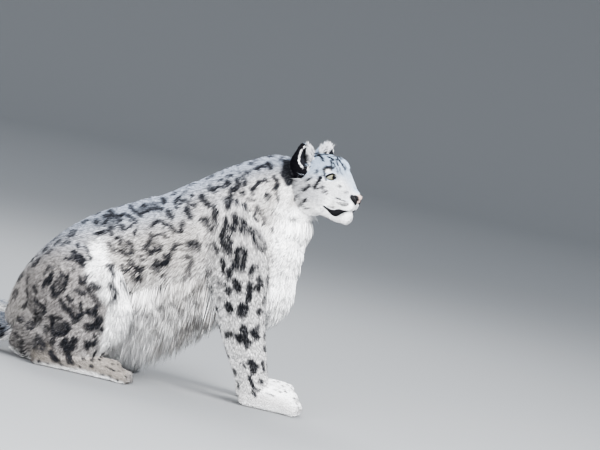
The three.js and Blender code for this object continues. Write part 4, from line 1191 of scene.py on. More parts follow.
def ring_tube(path: Array, radius: float, sides: int, flat: float = 1.0) -> tuple[Array, Array]:
    """A closed ring: circles of one radius along a closed path, with quads from each to the next.

    Args:
        path: the points of the path.
        radius: the radius.
        sides: how many points in a circle.
        flat: the height as a share of the width.

    Returns:
        Points and quads.
    """
    count = len(path)
    ahead = unit(np.roll(path, -1, 0) - np.roll(path, 1, 0))
    middle = path.mean(0)
    out = unit(path - middle)
    out = unit(out - ahead * (out * ahead).sum(1, keepdims=True))
    up = np.cross(ahead, out)
    a = 2 * np.pi * np.arange(sides) / sides
    ring = out[:, None] * np.cos(a)[None, :, None] + up[:, None] * (flat * np.sin(a))[None, :, None]
    points = (path[:, None] + ring * radius).reshape(-1, 3)
    i = np.arange(count)[:, None] * sides
    j = (np.arange(count)[:, None] + 1) % count * sides
    k, n = np.arange(sides)[None], (np.arange(sides)[None] + 1) % sides
    faces = np.concatenate([np.stack([i + k, i + n, j + n], -1).reshape(-1, 3),
                            np.stack([i + k, j + n, j + k], -1).reshape(-1, 3)])
    return points, faces


@dataclass
class Roots:
    """Where tufts grow: arrays with one row for each tuft."""

    points: Array
    normals: Array
    lay: Array
    length: Array
    width: Array
    lift: Array
    lead: Array
    t: Array
    angle: Array
    tone: Array

    def take(self, keep: Array) -> "Roots":
        """Only some of the tufts."""
        return Roots(**{name: value[keep] for name, value in self.__dict__.items()})


@dataclass(frozen=True)
class TuftStyle:
    """How a kind of tuft is made.

    Attributes:
        rings: sections between root and tip.
        clump: how far tips lean to their clump's tip.
        cell: the size of a clump in millimetres.
        sag: how far a tip falls, as a share of its length.
    """

    rings: int = 2
    clump: float = 0.35
    cell: float = 16.0
    sag: float = 0.04


class Coat:
    """The coat, as closed tufts in several pieces."""

    PATCH = 0.003
    SINK = 4.0
    THIN = 0.42
    SECTIONS = {1: ((0.42, 1.0),), 2: ((0.28, 1.0), (0.66, 0.8)), 3: ((0.2, 0.9), (0.48, 1.0), (0.78, 0.62))}
    # Painted shade along each tuft: darker towards the root, a little lighter at the tip
    ROOT_SHADE = {1: (0.62, 0.95, 1.04), 2: (0.6, 0.86, 1.0, 1.05), 3: (0.8, 0.93, 1.0, 1.02, 1.04)}
    INK = (0.016, 0.017, 0.021)
    DEEP = (0.004, 0.004, 0.006)
    GAIN = {1: 1.5, 2: 1.12, 3: 1.12}
    BITE = 0.62
    HEAD_PARTS = ("skull", "forehead", "bridge", "jaw", "whisker", "brow", "upper_lip", "ear")

    def __init__(self, bench: Bench, skin: Skin, marks: Markings) -> None:
        """Keeps what the coat grows on.

        Args:
            bench: where meshes are made.
            skin: the skin below.
            marks: the pattern of both.
        """
        self.bench = bench
        self.skin = skin
        self.marks = marks
        self.draw = np.random.default_rng(7)
        self.names = np.array([f.name for f in skin.forms])

    def scatter(self, parts: tuple[str, ...], count: int, weight: Array | None = None) -> Roots:
        """Roots spread evenly over the skin where one of some forms leads.

        Each triangle gets a share of the count by its area, and places run evenly along the sum of areas.

        Args:
            parts: the starts of the forms' names.
            count: how many tufts.
            weight: a density at each of the skin's points.

        Returns:
            The roots, with the coat's growth read from the forms.
        """
        skin = self.skin
        wanted = np.array([any(n.startswith(p) for p in parts) for n in self.names])
        tri = skin.triangles[wanted[skin.lead[skin.triangles[:, 0]]]]
        corners = skin.points[tri]
        area = np.linalg.norm(np.cross(corners[:, 1] - corners[:, 0], corners[:, 2] - corners[:, 0]), axis=1)
        if weight is not None:
            area = area * weight[tri].mean(1)
        total = np.cumsum(area)
        place = (np.arange(count) + self.draw.random(count)) / count * total[-1]
        pick = np.minimum(np.searchsorted(total, place), len(tri) - 1)
        a, b = self.draw.random(count), self.draw.random(count)
        flip = a + b > 1
        a, b = np.where(flip, 1 - a, a), np.where(flip, 1 - b, b)
        share = np.stack([1 - a - b, a, b], 1)[..., None]
        points = (skin.points[tri[pick]] * share).sum(1)
        normals = unit((skin.normals[tri[pick]] * share).sum(1))
        return self.grown(points, normals)

    def grown(self, points: Array, normals: Array) -> Roots:
        """Roots at points, with lie, length, width and colour blended from the forms near them.

        A form's share falls as the exponential of six times how much further out the point lies in it
        than in the form that leads.

        Args:
            points: where the roots are.
            normals: the normals there.

        Returns:
            The roots.
        """
        skin = self.skin
        lead, t, angle, ratios = skin.read(points)
        share = np.exp(-6 * (ratios - ratios.min(1, keepdims=True)))
        share[share < 0.02] = 0
        share /= share.sum(1, keepdims=True)
        # Fur that faces up takes the upper tone; where that is BACK, its blue is painted sky light
        above = smoothstep(normals[:, 2], 0.25, 0.85)
        below = smoothstep(-normals[:, 2], 0.15, 0.8)
        level = np.stack([above, 1 - above - below, below], 1)
        lay, length, tone = np.zeros_like(points), np.zeros(len(points)), np.zeros_like(points)
        width, lift = np.zeros(len(points)), np.zeros(len(points))
        down = np.array([0.0, 0.0, -1.0])
        for k, form in enumerate(skin.forms):
            near = np.flatnonzero(share[:, k])
            if not len(near):
                continue
            fur, part = form.fur, share[near, k]
            place = form.locate(points[near])[0]
            ahead = form.axes(place)[0] @ form.place[:3, :3].T
            lay[near] += part[:, None] * (fur.along * ahead + fur.down * down)
            sizes = np.outer(1 - place, fur.start) + np.outer(place, fur.end)
            length[near] += part * (sizes * level[near]).sum(1)
            tone[near] += part[:, None] * (level[near] @ np.array([x.value for x in fur.tones]))
            width[near] += part * fur.width
            lift[near] += part * fur.lift
        lay = unit(lay - normals * (lay * normals).sum(1, keepdims=True))
        on_head = np.isin(lead, self.indices(self.HEAD_PARTS))
        close = np.where(on_head, 0, 1 - smoothstep(ratios[:, self.indices(("skull",))].min(1), 1.0, 1.9))
        length, width, lift = length * (1 - 0.4 * close), width * (1 - 0.4 * close), lift * (1 - 0.4 * close)
        rear = np.where(on_head, smoothstep(-carried(points, np.linalg.inv(HEAD))[:, 0], 35, 85), 0)
        length = length + rear * 20
        pale = skin.paleness(points, normals, lead)
        height = carried(points, np.linalg.inv(HEAD))[:, 2]
        upper = (on_head * smoothstep(height, -8, 22) * 0.8)[:, None]
        tone = tone + (np.array(T.FACE.value) - tone) * upper
        tone = tone + (np.array(T.WHITE.value) - tone) * pale[:, None]
        # Painted shade: the coat darkens by up to 42 per cent towards the rump and tail
        tone = tone * (1 - 0.42 * smoothstep(-points[:, 0], 500, 640))[:, None]
        roots = Roots(points, normals, lay, length, width, lift, lead, t, angle, tone)
        self.colour_ears(roots)
        return roots

    def colour_ears(self, roots: Roots) -> None:
        """Colours and lengths of the ears' hair.

        The outer back is black and the inner back pale. The rim is white, the hollow is painted near black as
        painted shade towards the outer edge, and long light hairs cross it from the inner edge.

        Args:
            roots: the roots, changed in place.
        """
        for side in Side:
            own = np.flatnonzero(np.isin(roots.lead, self.indices((f"ear_{side.name.lower()}",))))
            if not len(own):
                continue
            local = carried(roots.points[own], np.linalg.inv(ear_place(side.value)))
            inside, outer = Skin.ear_hollow(side).locate(roots.points[own])[2], side.value * local[:, 1]
            always = np.ones(len(own), bool)
            rim = (inside >= 1.16) & (inside < 1.34) & (local[:, 0] > -1) & (local[:, 2] > -20)
            parts = (
                (always, T.EAR_BACK, 9, 0.2),
                ((outer < -12) & (local[:, 0] < 0), T.FACE, 9, 0.2),
                # the ear's hollow: painted shade, near black
                (inside < 1.16, T.EAR_INSIDE, 5, 0.12),
                (rim, T.WHITE, 7, 0.3),
                ((local[:, 2] < -8) & (local[:, 0] > 8) & (outer < 12), T.CHEEK, 10, 0.3),
                ((inside < 1.5) & (outer < -6) & (local[:, 0] > -2), T.CHEEK, 19, 0.5),
            )
            for part, tone, length, lift in parts:
                roots.tone[own[part]] = tone.value
                roots.length[own[part]] = length
                roots.lift[own[part]] = lift
            roots.lay[own[parts[-1][0]]] = unit(roots.lay[own[parts[-1][0]]] + HEAD[:3, 1] * side.value * 0.6)

    def knee(self, roots: Roots) -> None:
        """Long white hair that hangs from the front of the thigh and shank.

        Args:
            roots: the roots, changed in place.
        """
        x, z = roots.points[:, 0], roots.points[:, 2]
        share = smoothstep(x, -490, -440) * smoothstep(z, 60, 150)
        share = share * smoothstep(np.maximum(roots.normals[:, 0], 0), 0.0, 0.5)
        roots.length[:] = roots.length + 26 * share
        lay = roots.lay * (1 - share)[:, None] + np.array([0.05, 0.0, -1.0]) * share[:, None]
        roots.lay[:] = unit(lay - roots.normals * (0.6 * (lay * roots.normals).sum(1))[:, None])
        roots.tone[:] = roots.tone + (np.array(T.WHITE.value) - roots.tone) * (0.9 * share)[:, None]

    def hang(self, roots: Roots, grow: float) -> None:
        """Turns the hair of the lower flank down and lengthens it, the more the further round it lies.

        Args:
            roots: the roots, changed in place.
            grow: how much longer the hair gets.
        """
        low = smoothstep(-np.sin(np.radians(roots.angle)), 0.05, 0.75) * smoothstep(roots.t, 0.3, 0.5)
        down = np.array([0.04, 0.0, -1.0])
        lay = roots.lay * (1 - 0.85 * low)[:, None] + down * (1.3 * low)[:, None]
        roots.lay[:] = unit(lay - roots.normals * ((lay * roots.normals).sum(1) * (1 - 0.5 * low))[:, None])
        roots.length[:] = roots.length + grow * low
        roots.lift[:] = roots.lift * (1 - 0.55 * low)
        roots.tone[:] = roots.tone + (np.array(T.WHITE.value) - roots.tone) * (0.35 * low ** 2)[:, None]

    def indices(self, parts: tuple[str, ...]) -> Array:
        """The forms whose names start with one of some words."""
        return np.flatnonzero([any(n.startswith(p) for p in parts) for n in self.names])

    def outside(self, roots: Roots) -> Roots:
        """Drops roots that lie inside the other shell, on the eyes, nose and lips, or under the feet.

        Args:
            roots: all roots.

        Returns:
            The roots that stay.
        """
        skin = self.skin
        _, _, _, ratios = skin.read(roots.points)
        head = np.isin(roots.lead, self.indices(self.HEAD_PARTS))
        in_head = ratios[:, self.indices(self.HEAD_PARTS)].min(1)
        in_body = ratios[:, self.indices(("neck", "throat", "trunk"))].min(1)
        keep = np.where(head, in_body > 0.68, in_head > 0.9)
        local = carried(roots.points, np.linalg.inv(HEAD))
        for side in Side:
            centre = np.array([EYE_AT[0], side.value * EYE_AT[1], EYE_AT[2]])
            eye = carried(roots.points, np.linalg.inv(eye_place(side.value)))
            almond = np.hypot(eye[:, 1] / 20.5, (eye[:, 2] + side.value * eye[:, 1] * 0.16) / 12.2)
            keep &= ~((np.linalg.norm(local - centre, axis=1) < 26) & (almond < 1.0) & (eye[:, 0] > 0))
        keep &= ~((local[:, 0] > 46) & (np.abs(local[:, 1]) < 16) & (local[:, 2] > -55) & (local[:, 2] < -26))
        keep &= Face.bare(local) < 0.5
        keep &= ~((roots.points[:, 2] < 4) & (roots.normals[:, 2] < -0.5))
        return roots.take(keep)

    def tuft_mesh(self, name: str, roots: Roots, style: TuftStyle) -> bpy.types.Object:
        """Tufts as one mesh.

        A tuft follows the curve (1-s)(1-s)A + 2s(1-s)B + ssC from its sunk root A over B, which stands up
        from the skin, to its tip C, which lies along the hair and leans towards its clump's tip. Its
        sections are flat triangles, and it closes in a point at both ends.

        Args:
            name: the piece's name.
            roots: where and how the tufts grow.
            style: how they are made.

        Returns:
            The piece, painted and with its bake map.
        """
        n, draw = len(roots.points), self.draw
        length = roots.length * draw.uniform(0.72, 1.2, n)
        width = roots.width * draw.uniform(0.75, 1.25, n)
        across = np.cross(roots.lay, roots.normals)
        wander = draw.normal(0, 0.16, n)
        lay = unit(roots.lay + across * wander[:, None])
        lift = roots.lift * draw.uniform(0.55, 1.35, n)
        start = roots.points - roots.normals * self.SINK * (0.4 + 0.03 * length)[:, None]
        bend = roots.points + lay * (length * 0.42)[:, None] + roots.normals * (length * lift * 1.25)[:, None]
        tip = roots.points + lay * length[:, None] + roots.normals * (length * lift)[:, None]
        tip[:, 2] -= style.sag * length
        group = self.clumps(roots.points, style.cell)
        size = np.bincount(group)
        middle = np.stack([np.bincount(group, tip[:, k]) / size for k in range(3)], 1)[group]
        pull = style.clump * draw.uniform(0.4, 1.0, n)[:, None]
        tip = tip + (middle - tip) * pull
        tip[:, 2] = np.maximum(tip[:, 2], 1.5)
        bend[:, 2] = np.maximum(bend[:, 2], 1.0)
        start[:, 2] = np.maximum(start[:, 2], 1.0)
        rings = [start[:, None]]
        for s, wide in self.SECTIONS[style.rings]:
            mid = (1 - s) ** 2 * start + 2 * s * (1 - s) * bend + s * s * tip
            ahead = unit((1 - s) * (bend - start) + s * (tip - bend))
            flat = unit(np.cross(ahead, roots.normals))
            thick = np.cross(flat, ahead)
            w, h = (width * wide / 2)[:, None], (width * wide * self.THIN)[:, None]
            rings.append(np.stack([mid + flat * w - thick * h * 0.4, mid - flat * w - thick * h * 0.4,
                                   mid + thick * h * 0.6], 1))
        rings.append(tip[:, None])
        points = np.concatenate(rings, 1)
        points[:, :, 2] = np.maximum(points[:, :, 2], FLOOR_GAP)
        each = points.shape[1]
        pattern = self.pattern(style.rings)
        triangles = (np.arange(n)[:, None, None] * each + pattern[None]).reshape(-1, 3)
        piece = self.bench.piece(name, points.reshape(-1, 3), triangles)
        self.paint_tufts(piece, roots, points, style)
        self.bake_map(piece, roots, pattern, style)
        LOG.info("%s: %d tufts, %d triangles", name, n, len(triangles))
        return piece

    @staticmethod
    def pattern(rings: int) -> Array:
        """The triangles of one tuft: a fan at the root, bands between sections, and a fan at the tip.

        Args:
            rings: how many sections between root and tip.

        Returns:
            The triangles.
        """
        faces = [(0, 2, 1), (0, 3, 2), (0, 1, 3)]
        for r in range(rings - 1):
            a = 1 + 3 * r
            for k in range(3):
                b, c = a + k, a + (k + 1) % 3
                faces += [(b, c, c + 3), (b, c + 3, b + 3)]
        a = 1 + 3 * (rings - 1)
        last = a + 3
        faces += [(a, a + 1, last), (a + 1, a + 2, last), (a + 2, a, last)]
        return np.array(faces)

    @staticmethod
    def clumps(points: Array, cell: float) -> Array:
        """The number of each root's clump: cells of a grid that sines have bent out of square.

        Args:
            points: where the roots are.
            cell: the size of a clump.

        Returns:
            A clump number for each root.
        """
        broad = 0.7 * np.sin(points[:, [1, 2, 0]] / (cell * 1.9))
        fine = 0.35 * np.sin(points[:, [2, 0, 1]] / (cell * 0.8))
        keys = np.floor(points / cell + broad + fine).astype(np.int64)
        return np.unique(keys @ np.array([1, 4001, 16008001]), return_inverse=True)[1]

    def paint_tufts(self, piece: bpy.types.Object, roots: Roots, points: Array, style: TuftStyle) -> None:
        """Colours each section by the marking where it lies, with painted shade that makes it darker at the
        root than at the tip.

        The marking is read a little way from the section towards the tuft's middle, and a little aside, so
        that the edges of a marking break up along the hair.

        Args:
            piece: the tufts.
            roots: their roots.
            points: the points of each tuft.
            style: their style.
        """
        n = len(roots.points)
        middle = [points[:, 1 + 3 * k:4 + 3 * k].mean(1) for k in range(style.rings)] + [points[:, -1]]
        own = roots.points + roots.lay * (roots.length * 0.45)[:, None]
        aside = self.draw.normal(0, 1, (n, 1, 3)) * np.minimum(roots.width * 0.6, 1.3)[:, None, None]
        seen = np.stack(middle, 1) * 0.8 + own[:, None] * 0.2 + aside
        dark = self.marks.darkness(seen.reshape(-1, 3)).reshape(n, -1) * self.GAIN[style.rings]
        dark = np.clip(dark, 0, 1) ** self.BITE
        dark = np.clip(dark * self.draw.uniform(0.9, 1.1, (n, 1)), 0, 1)
        ground = roots.tone * self.draw.uniform(0.88, 1.1, n)[:, None]
        # painted shade along the tuft, darkest at the root
        root_shade = self.ROOT_SHADE[style.rings]
        order = [0] + [k for k in range(style.rings) for _ in range(3)] + [style.rings]
        shade = np.array([root_shade[0]] + [v for v in root_shade[1:-1] for _ in range(3)] + [root_shade[-1]])
        mix = dark[:, order][..., None]
        by_ear = (roots.points[:, 0] > 5) & (roots.points[:, 2] > 540)
        deep = np.isin(roots.lead, self.indices(self.HEAD_PARTS)) | by_ear
        ink = np.where(deep[:, None], np.array(self.DEEP), np.array(self.INK))[:, None]
        colours = (ground[:, None] + (ink - ground[:, None]) * mix) * shade[None, :, None]
        paint(piece.data, np.clip(colours.reshape(-1, 3), 0, 0.95))

    def bake_map(self, piece: bpy.types.Object, roots: Roots, pattern: Array, style: TuftStyle) -> None:
        """The bake map: each tuft is a small patch at its root's place on the unwrapped skin.

        The skin is unwrapped form by form. A form is a strip whose height is the way along its path and
        whose width is the way round it, and the strips of a piece stand side by side.

        Args:
            piece: the tufts.
            roots: their roots.
            pattern: the triangles of one tuft.
            style: their style.
        """
        forms, tile = np.unique(roots.lead, return_inverse=True)
        margin = 1 - 2 * self.PATCH
        u = (tile + np.clip((roots.angle + 180) / 360, 0, 1) * 0.98) / len(forms) * margin
        v = np.clip(roots.t, 0, 1) * margin
        row = np.concatenate([[0.0]] + [[s] * 3 for s, _ in self.SECTIONS[style.rings]] + [[1.0]])
        column = np.concatenate([[0.5]] + [[0.0, 0.5, 1.0]] * style.rings + [[0.5]])
        corner_u = u[:, None] + self.PATCH * column[pattern.ravel()][None]
        corner_v = v[:, None] + self.PATCH * row[pattern.ravel()][None]
        layer = piece.data.uv_layers.new(name="OFBake")
        layer.data.foreach_set("uv", np.stack([corner_u, corner_v], -1).astype(np.float32).ravel())

    def skin_colours(self) -> Array:
        """The skin's colours: the same ground, painted light and markings as the coat, a little darker.

        Returns:
            A colour for each point.
        """
        skin = self.skin
        grown = self.grown(skin.points, skin.normals)
        bare = Face.bare(carried(skin.points, np.linalg.inv(HEAD)))
        dark = np.maximum(self.marks.darkness(skin.points), bare)[:, None]
        return np.clip((grown.tone + (np.array(self.INK) - grown.tone) * dark) * 0.75, 0, 1)


@dataclass(frozen=True)
class FurFinish:
    """The finish of skin and coat: painted colour with fine variation, and nearly no shine."""

    name: str
    roughness: float = 0.72
    bump: float = 0.2

    def material(self, mottle: bpy.types.NodeTree) -> bpy.types.Material:
        """The material, from the colour on the mesh through the mottling group.

        Args:
            mottle: the mottling group.

        Returns:
            The material.
        """
        made = bpy.data.materials.new(self.name)
        made.use_nodes = True
        nodes, links = made.node_tree.nodes, made.node_tree.links
        shader = nodes["Principled BSDF"]
        shader.inputs["Specular IOR Level"].default_value = 0.05
        colour = nodes.new("ShaderNodeAttribute")
        colour.attribute_name = "hair_colour"
        group = nodes.new("ShaderNodeGroup")
        group.node_tree = mottle
        group.inputs["Roughness"].default_value = self.roughness
        links.new(colour.outputs["Color"], group.inputs["Colour"])
        links.new(group.outputs["Colour"], shader.inputs["Base Color"])
        links.new(group.outputs["Roughness"], shader.inputs["Roughness"])
        bump = nodes.new("ShaderNodeBump")
        bump.inputs["Strength"].default_value = self.bump
        bump.inputs["Distance"].default_value = 0.001
        links.new(group.outputs["Height"], bump.inputs["Height"])
        links.new(bump.outputs["Normal"], shader.inputs["Normal"])
        return made


def mottle_group() -> bpy.types.NodeTree:
    """A node group that varies a colour and its roughness over the surface, and gives a fine height.

    Returns:
        The group.
    """
    group = bpy.data.node_groups.new("hair mottling", "ShaderNodeTree")
    face = group.interface
    face.new_socket("Colour", in_out="INPUT", socket_type="NodeSocketColor")
    face.new_socket("Roughness", in_out="INPUT", socket_type="NodeSocketFloat")
    face.new_socket("Colour", in_out="OUTPUT", socket_type="NodeSocketColor")
    face.new_socket("Roughness", in_out="OUTPUT", socket_type="NodeSocketFloat")
    face.new_socket("Height", in_out="OUTPUT", socket_type="NodeSocketFloat")
    nodes, links = group.nodes, group.links
    start, end = nodes.new("NodeGroupInput"), nodes.new("NodeGroupOutput")
    place = nodes.new("ShaderNodeTexCoord")
    broad, fine = nodes.new("ShaderNodeTexNoise"), nodes.new("ShaderNodeTexNoise")
    broad.inputs["Scale"].default_value = 38.0
    broad.inputs["Detail"].default_value = 3.0
    fine.inputs["Scale"].default_value = 700.0
    fine.inputs["Detail"].default_value = 1.0
    scale = nodes.new("ShaderNodeMapRange")
    scale.inputs["To Min"].default_value = 0.86
    scale.inputs["To Max"].default_value = 1.12
    tint = nodes.new("ShaderNodeVectorMath")
    tint.operation = "SCALE"
    rough = nodes.new("ShaderNodeMath")
    rough.operation = "MULTIPLY"
    for noise in (broad, fine):
        links.new(place.outputs["Object"], noise.inputs["Vector"])
    links.new(broad.outputs["Fac"], scale.inputs["Value"])
    links.new(start.outputs["Colour"], tint.inputs[0])
    links.new(scale.outputs["Result"], tint.inputs["Scale"])
    links.new(tint.outputs["Vector"], end.inputs["Colour"])
    links.new(start.outputs["Roughness"], rough.inputs[0])
    links.new(scale.outputs["Result"], rough.inputs[1])
    links.new(rough.outputs["Value"], end.inputs["Roughness"])
    links.new(fine.outputs["Fac"], end.inputs["Height"])
    return group


@dataclass(frozen=True)
class WetFinish:
    """A smooth, moist finish: eyes, nose and lips."""

    name: str
    roughness: float
    coat: float
    bump: float = 0.0
    scale: float = 900.0
    shine: float = 0.5

    def material(self) -> bpy.types.Material:
        """The material, from the colour on the mesh, with a fine pebbled bump where it has one.

        Returns:
            The material.
        """
        made = bpy.data.materials.new(self.name)
        made.use_nodes = True
        nodes, links = made.node_tree.nodes, made.node_tree.links
        shader = nodes["Principled BSDF"]
        shader.inputs["Roughness"].default_value = self.roughness
        shader.inputs["Coat Weight"].default_value = self.coat
        shader.inputs["Specular IOR Level"].default_value = self.shine
        shader.inputs["Coat Roughness"].default_value = 0.06
        colour = nodes.new("ShaderNodeAttribute")
        colour.attribute_name = "hair_colour"
        links.new(colour.outputs["Color"], shader.inputs["Base Color"])
        place, cells = nodes.new("ShaderNodeTexCoord"), nodes.new("ShaderNodeTexVoronoi")
        bump = nodes.new("ShaderNodeBump")
        cells.inputs["Scale"].default_value = self.scale
        bump.inputs["Strength"].default_value = self.bump
        bump.inputs["Distance"].default_value = 0.0006
        links.new(place.outputs["Object"], cells.inputs["Vector"])
        links.new(cells.outputs["Distance"], bump.inputs["Height"])
        links.new(bump.outputs["Normal"], shader.inputs["Normal"])
        return made


@dataclass
class Face:
    """Eyes, lid edges, nose, lips and whiskers."""

    bench: Bench
    iris: float = 14.5
    pupil: float = 5.2

    def eye(self, side: Side) -> bpy.types.Object:
        """An eyeball with a bulging cornea, painted with pupil, iris and a dark edge.

        It is a sphere of rings about the gaze. Its radius grows by a bell round the gaze for the cornea.

        Args:
            side: left or right.

        Returns:
            The eyeball.
        """
        rings, sides = 40, 48
        polar = np.linspace(0.02, math.pi - 0.02, rings)
        around = 2 * np.pi * np.arange(sides) / sides
        radius = EYE_RADIUS + 1.1 * np.exp(-((polar / 0.5) ** 2)) - 0.4
        x = radius * np.cos(polar)
        r = radius * np.sin(polar)
        flat, wide = np.repeat(x[:, None], sides, 1), r[:, None]
        grid = np.stack([flat, wide * np.cos(around), wide * np.sin(around)], -1)
        local = np.concatenate([grid.reshape(-1, 3), [[x[0], 0, 0]], [[x[-1], 0, 0]]])
        place = eye_place(side.value, GAZE_TURN)
        name, faces = f"eyeball_{side.name.lower()}", tube_faces(rings, sides)[:, ::-1]
        piece = self.bench.piece(name, carried(local, place), faces)
        away = np.hypot(local[:, 1], local[:, 2]) + np.where(local[:, 0] < 0, 40, 0)
        bearing = np.arctan2(local[:, 2], local[:, 1])
        streak = 0.12 * np.sin(23 * bearing) + 0.08 * np.sin(41 * bearing + 1.3)
        mix = smoothstep(away, self.pupil - 0.3, self.pupil + 0.4)[:, None]
        inner = np.array([0.11, 0.105, 0.07])
        outer = np.array([0.15, 0.15, 0.12])
        part = np.clip((away - self.pupil) / (self.iris - self.pupil) + streak, 0, 1)[:, None]
        iris = inner + (outer - inner) * part
        colour = np.array([0.004, 0.004, 0.005]) * (1 - mix) + iris * mix
        rim = smoothstep(away, self.iris - 1.3, self.iris)[:, None]
        colour = colour * (1 - rim) + np.array([0.02, 0.018, 0.016]) * rim
        paint(piece.data, colour)
        return piece

    def lid_edge(self, side: Side) -> bpy.types.Object:
        """The dark bare edge of the lids round one eye, with the tear corner drawn out.

        Args:
            side: left or right.

        Returns:
            The edge.
        """
        path = Skin.lid_rim(side, 0.9, 1.2)
        points, faces = ring_tube(path, 2.8, 10)
        tear = np.linspace(0, 1, 12)
        corner = np.array([[11.5 - 16.6 ** 2 / 40 + 1.2, -side.value * 16.6, 2.6]])
        inner = carried(corner, eye_place(side.value))[0]
        local = np.stack([9.0 * tear, -side.value * 2.0 * tear, -13.0 * tear], -1) @ HEAD[:3, :3].T
        drop = tube(inner + local, 3.0 * (1 - tear) ** 0.7 + 0.6, 8)
        piece = self.bench.piece(f"lid_edge_{side.name.lower()}", *joined([(points, faces), drop]))
        paint(piece.data, np.tile([0.006, 0.006, 0.007], (len(piece.data.vertices), 1)))
        return piece

    def nose(self) -> bpy.types.Object:
        """The nose leather: a broad pad with two comma-shaped nostrils and the groove below it.

        It is the form of the solid's nose pad. Near each nostril's line its points sink by a bell of
        their distance from that line.

        Returns:
            The nose leather.
        """
        pad = Form("nose_pad", ((37, 0, -37, 14.5, 10.5, 13.5), (46, 0, -40, 15.5, 9.5, 14),
                                (54, 0, -43, 15.5, 8.6, 13.5)),
                   MUZZLE_FUR, ends=(4, 5), square=2.4, depth=(0, 0), place=np.eye(4))
        points, faces = pad.surface(60, 96)
        slot = np.zeros(len(points))
        for s in (-1, 1):
            a = np.linspace(0, 1, 14)
            line = np.stack([59 - 13 * a, s * (5.0 + 10.5 * np.sin(a * 1.5)), -48 + 8 * a ** 1.5], 1)
            far = np.sqrt(((points[:, None] - line[None]) ** 2).sum(-1).min(1))
            slot = np.maximum(slot, np.exp(-((far / 2.5) ** 2)))
        groove = np.exp(-((points[:, 1] / 1.2) ** 2)) * smoothstep(-points[:, 2], 46, 53)
        inward = unit(np.array([48.0, 0, -41.0]) - points)
        placed = carried(points + inward * (slot * 4.2 + groove * 1.5)[:, None], HEAD)
        line, radii = self.wing()
        upright = np.tile([0.0, 0.0, 1.0], (len(line), 1))
        wings = [tube(carried(line * [1, s, 1], HEAD), radii, 12, 0.6, upright) for s in (-1, 1)]
        piece = self.bench.piece("nose_leather", *joined([(placed, faces), *wings]))
        # The sides are the leather's own dark colour; the nostrils and the groove below are painted dark as
        # painted shade in their hollows
        side_dark = smoothstep(np.abs(points[:, 1]), 8.0, 11.5)
        pink, dark = np.array([0.40, 0.31, 0.28]), np.array([0.006, 0.006, 0.007])
        shade = np.clip(np.maximum(slot * 1.5, side_dark) + groove * 0.6, 0, 1)[:, None]
        colour = np.tile(dark, (len(piece.data.vertices), 1))
        colour[:len(points)] = pink + (dark - pink) * shade
        paint(piece.data, colour)
        return piece

    @staticmethod
    def mouth() -> tuple[Array, Array]:
        """The line of the left half of the mouth in the head's frame, and the lips' half height there.

        Returns:
            The points and the half heights.
        """
        rows = smooth_line(np.array([
            [-20, 46, -66, 1.4], [-10, 45.5, -72, 2.8], [1, 45.5, -78, 5.6], [11, 42.5, -80.5, 8.4],
            [20, 38, -77, 7.4], [29, 31, -75.5, 2.8], [36, 22, -73.5, 1.6], [40, 8.0, -70.5, 1.4],
            [40.5, 0.0, -70, 1.4]]), np.linspace(0, 1, 60))
        return rows[:, :3], rows[:, 3]

    @staticmethod
    def bare(local: Array) -> Array:
        """How far each point of the head lies on the dark bare skin of lips and nose wings, from 0 to 1.

        Args:
            local: points in the head's frame.

        Returns:
            A share for each point.
        """
        share = np.zeros(len(local))
        front = np.flatnonzero((np.abs(local[:, 0] - 12) < 55) & (np.abs(local[:, 2] + 60) < 45))
        mirrored = np.c_[local[front, 0], np.abs(local[front, 1]), local[front, 2]]
        for line, radii in (Face.mouth(), Face.wing()):
            far = (np.sqrt(((mirrored[:, None] - line[None]) ** 2).sum(-1)) - radii[None]).min(1)
            share[front] = np.maximum(share[front], 1 - smoothstep(far, 0.2, 2.2))
        return share

    @staticmethod
    def wing() -> tuple[Array, Array]:
        """The line of the dark wing at the left side of the nose, and its half width.

        Returns:
            The points and the half widths.
        """
        rows = smooth_line(np.array([
            [30, 13, -30, 2.2], [38, 15, -36, 4.6], [46, 15, -42.5, 5.8], [51, 12.5, -50, 5.0],
            [51, 9.0, -56.5, 2.6]]), np.linspace(0, 1, 16))
        return rows[:, :3], rows[:, 3]

    def lips(self) -> bpy.types.Object:
        """The dark line of the mouth, from corner to corner, thickest half way along each side.

        Returns:
            The lips.
        """
        line, radii = self.mouth()
        path = np.concatenate([line * [1, -1, 1], line[::-1][1:]])
        upright = np.tile([0.0, 0.0, 1.0], (len(path), 1))
        points, faces = tube(path, np.concatenate([radii, radii[::-1][1:]]), 12, 0.55, upright)
        piece = self.bench.piece("lips", carried(points, HEAD), faces)
        paint(piece.data, np.tile([0.006, 0.006, 0.007], (len(points), 1)))
        return piece

    def whiskers(self) -> bpy.types.Object:
        """White whiskers in three rows on each pad, fine tapered tubes that sweep back.

        Returns:
            The whiskers.
        """
        draw = np.random.default_rng(19)
        made = []
        t = np.linspace(0, 1, 9)[:, None]
        for s in (-1, 1):
            for row in range(3):
                for k in range(4):
                    out = 30 + 1.2 * k - abs(row - 1.5)
                    root = np.array([38 - 7.5 * k - row * 1.5, s * out, -52 - 5.5 * row])
                    aim = np.array([0.05 - 0.13 * k, s * 1.3, 0.2 - 0.04 * row])
                    aim = unit(aim + draw.normal(0, 0.06, 3))
                    reach = draw.uniform(48, 74) * (0.75 + 0.1 * k)
                    bow = np.array([-0.26, 0.0, 0.06]) * reach
                    path = carried(root + aim * t * reach + bow * t ** 2, HEAD)
                    made.append(tube(path, 0.24 * (1 - 0.8 * t[:, 0]), 5))
        piece = self.bench.piece("whiskers", *joined(made))
        paint(piece.data, np.tile([0.85, 0.85, 0.84], (len(piece.data.vertices), 1)))
        return piece


